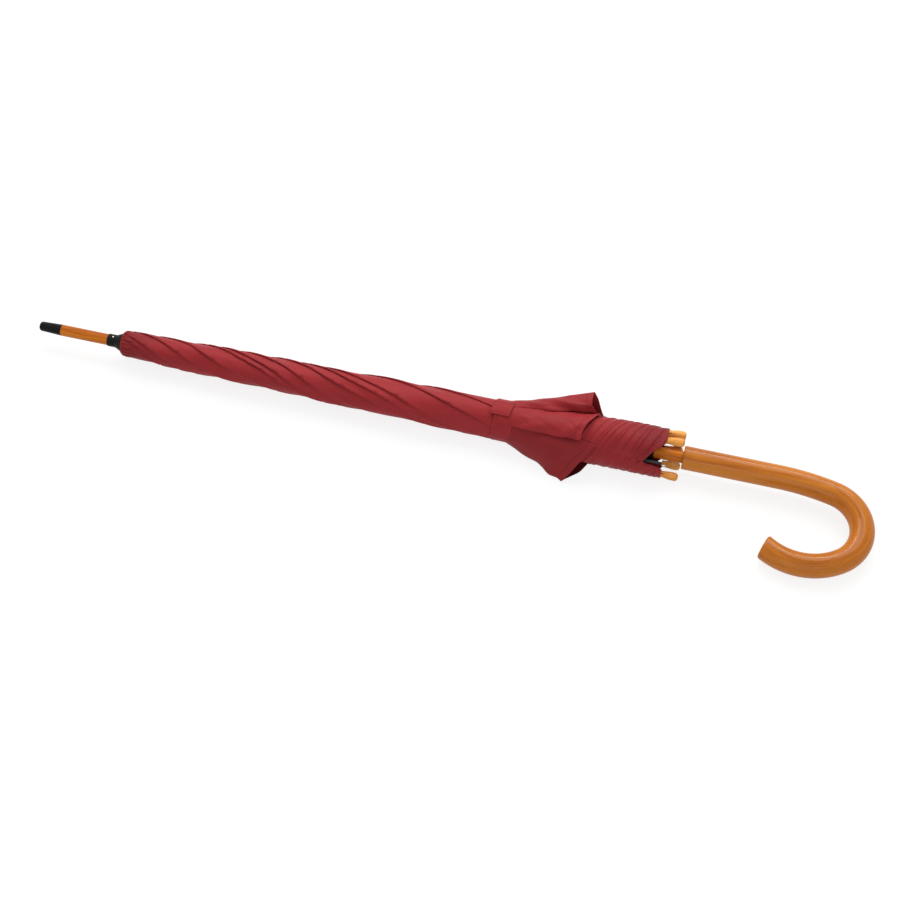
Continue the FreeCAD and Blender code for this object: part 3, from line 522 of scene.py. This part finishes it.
FOLD_DROP = 1.0         # how far behind a fold's edge the cloth is down again
WRAP = 0.43             # a gore's half width for each millimetre from the ribs' hinges
OUTER_FOLDS_FADE = 525.0   # from here the outer wrap's folds give way to the hem's
OUTER_FOLDS_END = 560.0
GATHERING_END = 550.0      # from here a gore's columns are spread evenly
# Where the eight folds of the outer wrap would start at the hinges, as azimuths.
OUTER_FOLDS = [11.0, 45.0, 98.0, 137.0, 159.0, 225.0, 284.0, 346.0]
# The creases near the hem slant the other way. Each full turn brings them back by this much.
HEM_CREASE_PITCH = 79.2
HEM_CREASE_START = 605.0
HEM_CREASE_FRONT = 35.0
HEM_FOLDS = [0.0, 17.0, 48.0, 84.0, 99.0, 138.0, 170.0, 186.0, 222.0, 262.0, 280.0, 322.0]


def curve(table, along):
    places, values = zip(*table)
    return np.interp(along, places, values)


def fold_relief(phase, folds, unit):
    """Overlapping folds across a phase of 360. Each ramps up to its edge and drops behind it.
    unit is how many millimetres one degree of phase is. Gives height, shift and crease."""
    folds = np.array(folds)
    phase = np.mod(phase, 360.0)
    index = np.searchsorted(folds, phase, side="right") - 1
    start = folds[index]
    start = np.where(index < 0, folds[-1] - 360.0, start)
    following = np.where(index < 0, folds[0], folds[(index + 1) % len(folds)])
    following = np.where(following < start, following + 360.0, following)
    gap = following - start
    past = (phase - start) * unit
    ahead = (following - phase) * unit
    share = (phase - start) / gap
    height = share ** 1.6 + (1 - smooth(past, 0.0, FOLD_DROP))
    height = height + 0.22 * bump(ahead, 1.4, 1.5)
    shift = 0.55 * bump(ahead, 0.0, 0.8) + 0.55 * bump(past, 0.0, 0.5)
    shift = shift - 0.75 * bump(past, FOLD_DROP, 0.8)
    crease = bump(past, 0.9, 0.75)
    return height, shift, crease


def roll_surface(along, azimuth):
    """The radius, azimuth shift and crease of the rolled cloth."""
    base = curve(ROLL, along)
    high = curve(FOLD_HEIGHT, along)
    wrap = np.degrees(WRAP * (along - HINGES) / np.interp(along, [98, 640], [13.6, 22.0]))
    sway = 3.0 * np.sin(along / 31.0) + 2.5 * np.sin(np.radians(azimuth) + along / 19.0)
    unit = np.radians(1.0) * base
    outer = fold_relief(azimuth - wrap + sway, OUTER_FOLDS, unit)
    slant = along - HEM_CREASE_START
    turn = slant / HEM_CREASE_PITCH * 360.0 + (azimuth - HEM_CREASE_FRONT) + sway
    turn = turn + 9.0 * np.sin(np.radians(azimuth * 2.0) + along / 11.0)
    inner = fold_relief(turn, HEM_FOLDS, HEM_CREASE_PITCH / 360.0 * 0.9)
    share = smooth(along, OUTER_FOLDS_FADE, OUTER_FOLDS_END)
    height = (1 - share) * outer[0] + share * inner[0] * 0.8
    shift = (1 - share) * outer[1]
    crease = (1 - share) * outer[2] + share * inner[2]
    faint = 0.35 * np.sin(np.radians(3 * azimuth) + along / 23.0)
    faint = faint + 0.25 * np.sin(np.radians(5 * azimuth) - along / 14.0 + 1.3)
    gathers = 0.35 * np.sin(np.radians(22 * azimuth)) * (1 - smooth(along, 96.0, 122.0))
    radius = base + high * height + faint * smooth(along, 98.0, 130.0) + gathers
    # The crease feeds the painted shade in the folds; a rim at the canopy's start is added to it.
    crease = crease * smooth(along, 95.0, 108.0) + 0.8 * bump(along, CANOPY_START, 1.8)
    return radius, shift / unit, crease


def above_floor(azimuth, radius, gap=0.35):
    """The radius, held back where it would reach through the surface underneath."""
    down = -np.cos(np.radians(azimuth))
    limit = np.where(down > 0.05, (AXIS_HEIGHT - gap) / np.maximum(down, 0.05), 1e6)
    return np.minimum(radius, limit)


# ---------------------------------------------------------------- the eight gores

GORE_COLUMNS = 64
FINE_START = 585.0      # from here the cloth's creases are short and need a finer mesh
COARSE_STEP = 2.0
FINE_STEP = 0.55
HEM_SCALLOP = 5.0       # how far most hems are drawn back halfway between two ribs
HEM_SHAPE_START = 610.0  # from here the cloth is drawn towards the hem's own shape
# The hem between the second and third ribs falls open at the front. Its edge, as shares of the
# gore's width: the azimuth, and how far the hem is drawn back from the ribs' tips.
OPEN_HEM = [
    (0.0, None, 0.0), (0.14, 14.0, 1.0), (0.24, 28.0, 7.0), (0.33, 39.0, 12.0), (0.42, 53.0, 16.0),
    (0.50, 67.0, 20.5), (0.56, 69.5, 14.0), (0.66, 71.5, 5.0), (0.74, 76.0, 0.0),
    (1.0, None, 0.0),
]


def gore_hem(index, share):
    """The hem's place along the shaft, and its azimuth if it differs from the even spread."""
    if index == 1:
        shares = [entry[0] for entry in OPEN_HEM]
        back = np.interp(share, shares, [entry[2] for entry in OPEN_HEM])
        low = float(rib_azimuth(index, np.array(HEM)))
        high = float(rib_azimuth(index + 1, np.array(HEM)))
        spread = [low if s == 0 else high if s == 1 else a for s, a, _ in OPEN_HEM]
        return HEM - back, np.interp(share, shares, spread)
    depth = HEM_SCALLOP * (0.12 if index == 0 else 1.0)
    return HEM - depth * np.sin(np.pi * share) ** 1.5, None


def gathered_columns(low, high, along):
    """Azimuths across each row of a gore, closer together where a fold's edge passes."""
    fine = np.linspace(0.0, 1.0, 400)
    spread = low[:, None] + (high - low)[:, None] * fine[None, :]
    _, _, crease = roll_surface(along[:, None], spread)
    outer = 1 - smooth(along, OUTER_FOLDS_FADE, GATHERING_END)
    weight = 1.0 + 4.0 * crease * outer[:, None]
    total = np.concatenate(
        [np.zeros((len(along), 1)), np.cumsum((weight[:, 1:] + weight[:, :-1]) / 2, axis=1)],
        axis=1)
    total /= total[:, -1:]
    share = np.linspace(0.0, 1.0, GORE_COLUMNS)
    return np.stack([np.interp(share, row, fine) for row in total])


def make_gore(index):
    """One gore of the canopy as it lies in the roll, from the crown to its hem."""
    number = index + 1
    share = np.linspace(0.0, 1.0, GORE_COLUMNS)
    hem, hem_azimuth = gore_hem(index, share)
    start = np.linspace(0.0, 1.0, 12) ** 1.5 * 8.0 + CANOPY_START
    middle_rows = np.arange(start[-1] + COARSE_STEP, FINE_START, COARSE_STEP)
    fine = np.arange(FINE_START, HEM, FINE_STEP)
    rows = np.concatenate([start, middle_rows, fine, [HEM]])
    drawn_in = smooth(rows, HEM_SHAPE_START, HEM)[:, None] * (HEM - hem)[None, :]
    along = rows[:, None] - drawn_in
    centre = along.mean(axis=1)
    low, high = rib_azimuth(index, centre), rib_azimuth(index + 1, centre)
    across = gathered_columns(low, high, centre)
    low, high = rib_azimuth(index, along), rib_azimuth(index + 1, along)
    azimuth = low + (high - low) * across
    if hem_azimuth is not None:
        pull = smooth(along, HEM_SHAPE_START, HEM - 4.0)
        azimuth = azimuth + pull * (hem_azimuth[None, :] - azimuth)
    radius, shift, crease = roll_surface(along, azimuth)
    inside = np.sin(np.pi * share)[None, :] ** 0.3
    radius = above_floor(azimuth, radius)
    points = place(along, azimuth + shift * inside, radius)
    to_hem = hem[None, :] - along
    # Painted shade: the crease mark darkens the folds' edges, varied along each fold by uneven, and
    # the shade mark darkens the cloth by the crown and on top near the hem.
    uneven = 0.62 + 0.38 * np.sin(along / 37.0 + 1.7 * np.sin(np.radians(azimuth) * 2 + index))
    top = 0.5 + 0.5 * np.cos(np.radians(azimuth + 25.0))
    shade = 0.36 * (1 - smooth(along, 100.0, 150.0))
    shade = shade + (0.14 * smooth(along, 598.0, 625.0) + 0.26 * smooth(along, 630.0, 660.0)) * top
    marks = {"crease": np.clip(crease * uneven, 0, 1) * 0.75, "hem": to_hem, "shade": shade}
    obj = sheet_mesh(f"canopy_cloth_{number}", points, CLOTH, marks)
    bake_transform(obj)
    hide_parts(f"canopy_gore_{number}")


for gore in range(RIB_COUNT):
    make_gore(gore)


# ---------------------------------------------------------------- loose hem flaps

def creased_line(points, steps):
    """Straight stretches through rows of numbers, steps points each, with softened corners."""
    points = np.asarray(points, float)
    where = np.linspace(0.0, len(points) - 1.0, (len(points) - 1) * steps + 1)
    line = np.stack(
        [np.interp(where, np.arange(len(points)), column) for column in points.T], axis=1)
    for _ in range(5):
        line[1:-1] = 0.25 * line[:-2] + 0.5 * line[1:-1] + 0.25 * line[2:]
    return line


def hermite(knots, points, where):
    """Cubic interpolation of rows of numbers at knots, without overshoot at the ends."""
    slopes = np.gradient(points, knots, axis=0)
    index = np.clip(np.searchsorted(knots, where, side="right") - 1, 0, len(knots) - 2)
    width = (knots[index + 1] - knots[index])
    share = (where - knots[index]) / width
    shape = (-1,) + (1,) * (points.ndim - 1)
    share, width = share.reshape(shape), width.reshape(shape)
    first, second = points[index], points[index + 1]
    a, b = slopes[index] * width, slopes[index + 1] * width
    cubed, squared = share ** 3, share ** 2
    return (first * (2 * cubed - 3 * squared + 1) + a * (cubed - 2 * squared + share)
            + second * (3 * squared - 2 * cubed) + b * (cubed - squared))


FLAP_ROWS = 70
FLAP_STEPS = 13         # how many columns of the mesh go to each stretch of a section
FLAP_KNOTS = [0.0, 0.28, 0.55, 1.0]     # where the four sections lie, as shares of the length
CRUMPLE_HEIGHT = 2.6
ON_FLOOR = 0.3          # how far above the floor a flap is kept

# Each flap is a loose pleat of the outer wrap, from the strap to its hem. Its four sections go
# from the strap to the hem, and each is a line of (along, azimuth, radius) across the pleat.
FLAPS = {
    "hem_flap_upper": [
        [(512, -4, 20.4), (512, -10, 20.8), (512, -22, 21.3), (512, -30, 21.6), (512, -47, 21.6),
         (512, -57, 21.4), (512, -68, 20.8), (512, -80, 20.2)],
        [(537, -20, 21.3), (537, -17, 22.0), (537, -26, 25.6), (536, -33, 26.9), (535, -47, 27.4),
         (536, -57, 25.8), (537, -68, 23.6), (538, -80, 21.8)],
        [(558, -27, 23.0), (559, -21, 24.4), (558, -29, 30.0), (556, -36, 32.6), (554, -47, 34.6),
         (556, -57, 31.0), (559, -68, 27.0), (561, -80, 24.0)],
        [(596, -46, 26.0), (599, -35, 27.6), (593, -28, 36.0), (592, -33, 40.4), (592, -46, 46.6),
         (597, -57, 40.0), (601, -70, 32.5), (606, -84, 26.2)],
    ],
    "hem_flap_front": [
        [(512, -22, 20.6), (512, -6, 20.8), (512, 12, 20.9), (513, 30, 20.9), (513, 46, 20.9),
         (513, 48, 20.4), (513, 40, 20.0), (513, 26, 19.9)],
        [(538, -22, 21.4), (538, -8, 22.6), (538, 10, 24.0), (539, 30, 24.8), (539, 47, 24.4),
         (539, 49, 23.2), (540, 40, 22.0), (540, 24, 21.6)],
        [(562, -26, 23.0), (562, -10, 25.8), (562, 8, 28.2), (563, 28, 29.8), (564, 45, 29.4),
         (564, 47, 27.8), (565, 38, 25.8), (565, 20, 24.6)],
        [(606, -50, 26.2), (602, -30, 28.0), (597, -6, 30.2), (592, 14, 32.2), (589, 30, 33.4),
         (590, 45, 33.4), (584, 42, 29.6), (578, 26, 25.6)],
    ],
    "hem_flap_lower": [
        [(513, 30, 20.0), (513, 56, 20.5), (513, 80, 20.7), (513, 104, 20.9), (513, 124, 21.1),
         (514, 130, 20.8), (515, 142, 20.4), (516, 152, 20.2)],
        [(539, 34, 21.4), (539, 58, 22.8), (539, 82, 25.0), (540, 104, 28.6), (540, 122.5, 32.0),
         (541, 127, 30.6), (543, 142, 25.6), (545, 154, 22.6)],
        [(565, 34, 24.8), (564, 56, 27.4), (563, 80, 31.4), (561, 102, 37.0), (559, 119, 41.2),
         (561, 121, 38.8), (565, 134, 29.4), (568, 148, 24.4)],
        [(605, 50, 26.0), (599, 72, 29.8), (591, 90, 35.2), (584, 104, 43.0), (577, 112.8, 50.4),
         (580, 115.4, 46.4), (592, 120, 37.6), (602, 150, 23.5)],
    ],
    "hem_flap_under": [
        [(513, 138, 19.8), (513, 152, 20.0), (513, 168, 20.2), (513, 184, 20.2), (513, 200, 20.2),
         (513, 214, 20.4), (513, 226, 20.6), (513, 236, 20.6)],
        [(542, 140, 23.0), (542, 154, 22.6), (541, 168, 21.0), (540, 184, 20.6), (540, 200, 21.6),
         (540, 214, 23.4), (541, 226, 23.6), (542, 236, 23.0)],
        [(568, 142, 25.0), (569, 154, 22.8), (568, 168, 21.2), (566, 184, 20.8), (564, 200, 22.2),
         (565, 214, 25.6), (568, 226, 26.4), (570, 236, 25.0)],
        [(604, 142, 25.4), (598, 154, 23.0), (592, 168, 21.4), (588, 184, 21.0), (586, 200, 22.6),
         (590, 214, 26.6), (596, 226, 28.8), (602, 236, 26.6)],
    ],
    "hem_flap_back": [
        [(512, 226, 20.2), (512, 238, 20.7), (512, 250, 21.0), (512, 262, 21.2), (512, 272, 21.2),
         (512, 280, 21.0), (512, 288, 20.6), (512, 296, 20.2)],
        [(540, 222, 22.2), (539, 234, 24.4), (538, 246, 26.2), (537, 256, 27.0), (537, 266, 26.0),
         (538, 276, 24.4), (539, 286, 23.0), (540, 296, 22.0)],
        [(566, 220, 24.4), (564, 232, 27.6), (562, 243, 31.2), (561, 252, 32.6), (562, 262, 30.2),
         (564, 273, 27.4), (566, 285, 25.2), (568, 296, 24.2)],
        [(603, 218, 26.2), (597, 230, 30.4), (590, 240, 35.6), (586, 247, 38.2), (590, 257, 34.2),
         (596, 268, 30.2), (602, 282, 27.0), (606, 296, 26.0)],
    ],
}
# The rib that each flap moves with, as its number.
FLAP_RIBS = {
    "hem_flap_upper": 1, "hem_flap_front": 2, "hem_flap_lower": 3, "hem_flap_under": 5,
    "hem_flap_back": 7,
}
# Where a flap's inner side starts across it, where it is fully in shade, and how deep the shade is.
FLAP_INSIDES = {
    "hem_flap_upper": (4.6, 5.6, 0.35), "hem_flap_front": (5.0, 5.6, 0.75),
    "hem_flap_lower": (4.4, 5.2, 0.80), "hem_flap_under": (8.0, 9.0, 0.0),
    "hem_flap_back": (8.0, 9.0, 0.0),
}
# How deep the shade is all over a flap.
FLAP_SHADES = {
    "hem_flap_upper": 0.04, "hem_flap_front": 0.04, "hem_flap_lower": 0.24, "hem_flap_under": 0.2,
    "hem_flap_back": 0.04,
}
UNDER_RIB = 8.0         # a depth under a rib's middle line, handed to under_rib() for the loose folds


def crumple(points, seed, height):
    """Moves a grid of points along their normals in soft, irregular dents."""
    noise = np.random.default_rng(seed)
    rows, columns = points.shape[:2]
    down = np.linspace(0.0, 1.0, rows)[:, None]
    across = np.linspace(0.0, 1.0, columns)[None, :]
    dents = np.zeros((rows, columns))
    for _ in range(14):
        rate_down, rate_across = noise.uniform(1.0, 6.0), noise.uniform(2.0, 9.0)
        turn = noise.uniform(0.0, 2 * np.pi)
        weight = noise.uniform(0.3, 1.0) / (rate_down + rate_across)
        dents += weight * np.sin(2 * np.pi * (rate_down * down + rate_across * across) / 2 + turn)
    for _ in range(5):
        rate_down, rate_across = noise.uniform(1.0, 3.0), noise.uniform(1.0, 4.0)
        wave = np.sin(np.pi * (rate_down * down - rate_across * across) + noise.uniform(0.0, 6.0))
        dents += noise.uniform(0.05, 0.16) * (1.0 - np.sqrt(np.abs(wave)))
    tangent = np.gradient(points, axis=0)
    side = np.gradient(points, axis=1)
    normal = np.cross(tangent, side)
    normal /= np.maximum(np.linalg.norm(normal, axis=-1, keepdims=True), 1e-12)
    fade = smooth(down, 0.0, 0.25) * np.ones_like(across)
    return points + normal * (dents * fade)[..., None] * height * MM


def make_flap(name, seed):
    """One loose pleat near the hem. seed picks its dents."""
    sections = np.array(FLAPS[name], float)
    lines = np.stack([creased_line(section, FLAP_STEPS) for section in sections])
    grid = hermite(np.array(FLAP_KNOTS), lines, np.linspace(0.0, 1.0, FLAP_ROWS))
    points = place(grid[..., 0], grid[..., 1], grid[..., 2])
    points = crumple(points, seed, CRUMPLE_HEIGHT)
    points[..., 2] = np.maximum(points[..., 2], ON_FLOOR * MM)
    column = np.arange(points.shape[1])[None, :] / FLAP_STEPS + np.zeros(points.shape[:2])
    first, last, depth = FLAP_INSIDES[name]
    down = np.linspace(0.0, 1.0, FLAP_ROWS)[:, None]
    shade = depth * smooth(column, first, last) * smooth(down, 0.3, 0.8)
    shade = np.maximum(shade, FLAP_SHADES[name])
    to_hem = np.linalg.norm(points[-1:] - points, axis=-1) / MM
    obj = sheet_mesh(name, points, CLOTH, {"hem": to_hem, "shade": shade})
    rib = FLAP_RIBS[name]
    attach(obj, f"rib_{rib}")
    open_normal(rib - 1)
    under_rib(rib - 1, 560.0, UNDER_RIB)
    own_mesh(obj)


for order, flap_name in enumerate(FLAPS):
    make_flap(flap_name, 11 + order)


# ---------------------------------------------------------------- folds inside the roll

INNER_FOLD_START = 575.0
INNER_FOLD_SHORT = 7.0  # how far the inner folds end before the hem
INNER_FOLD_GAP = 190.0  # keeps a fold's sides off the ribs, by this over the gore's degrees


def make_inner_fold(index):
    """A gore's inner pleat near the hem. It dips from the ribs towards the shaft and back."""
    number = index + 1
    share = np.linspace(0.0, 1.0, 28)[None, :]
    down = np.linspace(0.0, 1.0, 44)[:, None]
    reach = HEM - INNER_FOLD_SHORT - INNER_FOLD_START
    along = INNER_FOLD_START + down * (reach - 3.0 * np.sin(np.pi * share))
    low, high = rib_azimuth(index, along), rib_azimuth(index + 1, along)
    gap = INNER_FOLD_GAP / np.maximum(high - low, 1.0)
    azimuth = low + gap + (high - low - 2 * gap) * share
    azimuth = azimuth + 3.0 * np.sin(2 * np.pi * share) * down
    radius = 13.6 + 7.0 * np.abs(np.cos(np.pi * share)) + 0.5 * np.sin(along / 9.0 + 7.0 * share)
    points = place(along, azimuth, above_floor(azimuth, radius, 1.0))
    shade = np.full(along.shape, 0.7)
    obj = sheet_mesh(f"inner_fold_{number}", points, CLOTH, {"shade": shade, "hem": HEM - along})
    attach(obj, f"rib_{number}")
    open_normal(index)
    under_rib(index, 620.0, UNDER_RIB)
    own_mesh(obj)


for gore in (0, 2, 3, 4, 5, 6, 7):
    make_inner_fold(gore)


# ---------------------------------------------------------------- tie strap

STRAP_ROWS = 60
STRAP_COLUMNS = 24
STRAP_SLANT = 0.06      # how far it drifts along the roll for each degree, in millimetres


def strap_strip(name, first, last, lift, body, thickness, material):
    """A strip of the strap round the roll, between two azimuths."""
    azimuth = np.linspace(first, last, STRAP_ROWS)[:, None]
    side = np.linspace(-1.0, 1.0, STRAP_COLUMNS)[None, :]
    along = STRAP_MIDDLE + side * (STRAP_END - STRAP_START) / 2
    along = along + STRAP_SLANT * np.clip(24.0 - azimuth, 0.0, 80.0)
    along = along + 0.25 * np.sin(np.radians(azimuth) * 4)
    radius = np.interp(along, [480, 530], [20.7, 21.3]) + lift
    radius = radius + 0.25 * bump(np.abs(side), 0.86, 0.08) - 0.15 * bump(np.abs(side), 0.72, 0.06)
    radius = above_floor(azimuth + 0 * along, radius + 0 * azimuth, 0.5)
    points = place(along, azimuth, radius)
    # Painted shade: the crease mark darkens the groove along each row of stitches.
    stitch_groove_shade = 0.35 * bump(np.abs(side), 0.74, 0.03) + 0 * azimuth
    obj = sheet_mesh(name, points, material, {"crease": stitch_groove_shade}, thickness)
    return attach(obj, body)


STRAP_HINGE = -21.0     # the azimuth where the tab is sewn to the band
tab = strap_strip("strap_tab_cloth", STRAP_HINGE, 24.0, 1.15, "strap", 0.9, STRAP_CLOTH)
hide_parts("strap_tab", "strap_hook_patch")
band = strap_strip("strap_band_cloth", STRAP_HINGE, STRAP_HINGE - 320.0, 0.12, "gore_1", 0.3,
                   CLOTH)
band_anchor = tuple(float(v) for v in place(STRAP_MIDDLE, STRAP_HINGE, 21.0))
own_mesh(band)


# ---------------------------------------------------------------- crown rosette

def make_rosette():
    """The small gathered round of cloth between the cap and the gores."""
    turn = np.linspace(0.0, 360.0, 145)[None, :]
    share = np.linspace(0.0, 1.0, 9)[:, None]
    along = 93.75 + 1.3 * share ** 1.4 + 0.12 * np.sin(np.radians(18 * turn)) * share
    radius = 6.3 + 4.9 * share + 0.12 * np.sin(np.radians(18 * turn)) * share
    points = place(along, turn + 0 * share, radius)
    # Painted shade: the crease mark darkens the whole rosette where other surfaces are near.
    dark = np.full(points.shape[:2], 0.35)
    obj = sheet_mesh("crown_cloth", points, CLOTH, {"crease": dark}, 0.3)
    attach(obj, "root")
    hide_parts("crown_rosette")


make_rosette()


# ---------------------------------------------------------------- floor, light and camera

def direct_rays(nodes, links):
    """1 for rays from the camera, off a glossy surface or through a clear one, else 0."""
    path = nodes.new("ShaderNodeLightPath")
    chosen = path.outputs["Is Camera Ray"]
    for kind in ("Is Glossy Ray", "Is Transmission Ray"):
        either = nodes.new("ShaderNodeMath")
        either.operation = "MAXIMUM"
        links.new(chosen, either.inputs[0])
        links.new(path.outputs[kind], either.inputs[1])
        chosen = either.outputs[0]
    return chosen


def floor_material():
    """A pale sweep that looks white and keeps the umbrella's soft shadow."""
    material = bpy.data.materials.new("studio_floor")
    material.use_nodes = True
    nodes, links = material.node_tree.nodes, material.node_tree.links
    nodes.clear()
    seen, bounced = nodes.new("ShaderNodeBsdfDiffuse"), nodes.new("ShaderNodeBsdfDiffuse")
    seen.inputs["Color"].default_value = (0.21, 0.21, 0.21, 1.0)
    bounced.inputs["Color"].default_value = (0.82, 0.82, 0.82, 1.0)
    glow = nodes.new("ShaderNodeEmission")
    glow.inputs["Strength"].default_value = 0.82
    white = nodes.new("ShaderNodeAddShader")
    links.new(seen.outputs[0], white.inputs[0])
    links.new(glow.outputs[0], white.inputs[1])
    chosen = nodes.new("ShaderNodeMixShader")
    links.new(direct_rays(nodes, links), chosen.inputs["Fac"])
    links.new(bounced.outputs[0], chosen.inputs[1])
    links.new(white.outputs[0], chosen.inputs[2])
    output = nodes.new("ShaderNodeOutputMaterial")
    links.new(chosen.outputs[0], output.inputs["Surface"])
    return material


def make_floor():
    half = 4.0
    mesh = bpy.data.meshes.new("studio_floor")
    mesh.from_pydata(
        [(-half, -half, 0), (half, -half, 0), (half, half, 0), (-half, half, 0)], [],
        [(0, 1, 2, 3)])
    mesh.materials.append(floor_material())
    floor = bpy.data.objects.new("studio_floor", mesh)
    bpy.context.scene.collection.objects.link(floor)


def make_world(level):
    world = bpy.data.worlds.new("studio")
    world.use_nodes = True
    nodes, links = world.node_tree.nodes, world.node_tree.links
    background = nodes["Background"]
    strength = nodes.new("ShaderNodeMapRange")
    strength.inputs["To Min"].default_value = level
    strength.inputs["To Max"].default_value = 1.0
    links.new(direct_rays(nodes, links), strength.inputs["Value"])
    background.inputs["Color"].default_value = (1.0, 1.0, 1.0, 1.0)
    links.new(strength.outputs[0], background.inputs["Strength"])
    bpy.context.scene.world = world


def softbox(name, place_at, look_at, width, height, power):
    data = bpy.data.lights.new(name, "AREA")
    data.shape = "RECTANGLE"
    data.size, data.size_y, data.energy = width, height, power
    lamp = bpy.data.objects.new(name, data)
    lamp.location = place_at
    direction = Vector(look_at) - Vector(place_at)
    lamp.rotation_euler = direction.to_track_quat("-Z", "Y").to_euler()
    bpy.context.scene.collection.objects.link(lamp)


CAMERA_AZIMUTH = 14.45
CAMERA_ELEVATION = 54.2
CAMERA_DISTANCE = 1.492
CAMERA_LENS = 58.56
# What the camera looks at: how far along the shaft it is, and how far beside the axis.
TARGET_ALONG = 459.9
TARGET_SIDE = 34.9


def make_camera():
    azimuth, elevation = math.radians(CAMERA_AZIMUTH), math.radians(CAMERA_ELEVATION)
    forward = Vector((
        -math.sin(azimuth) * math.cos(elevation), math.cos(azimuth) * math.cos(elevation),
        -math.sin(elevation)))
    target = Vector((TIP_X + TARGET_ALONG * MM, AXIS_Y - TARGET_SIDE * MM, 0.0))
    data = bpy.data.cameras.new("camera")
    data.lens = CAMERA_LENS
    data.sensor_width = 36.0
    data.clip_start, data.clip_end = 0.05, 20.0
    camera = bpy.data.objects.new("camera", data)
    camera.location = target - forward * CAMERA_DISTANCE
    camera.rotation_euler = forward.to_track_quat("-Z", "Y").to_euler()
    bpy.context.scene.collection.objects.link(camera)
    bpy.context.scene.camera = camera


make_floor()
make_world(0.60)
softbox("overhead", (-0.10, 0.75, 1.20), (0.0, 0.0, 0.0), 1.7, 0.8, 12.0)
softbox("strip", (0.10, 1.05, 0.95), (0.10, 0.0, 0.0), 1.5, 0.16, 6.5)
softbox("front_fill", (0.5, -1.3, 0.9), (0.0, 0.0, 0.0), 1.2, 0.8, 3.0)
make_camera()
bpy.context.scene.view_settings.view_transform = "Standard"

bpy.context.view_layer.update()
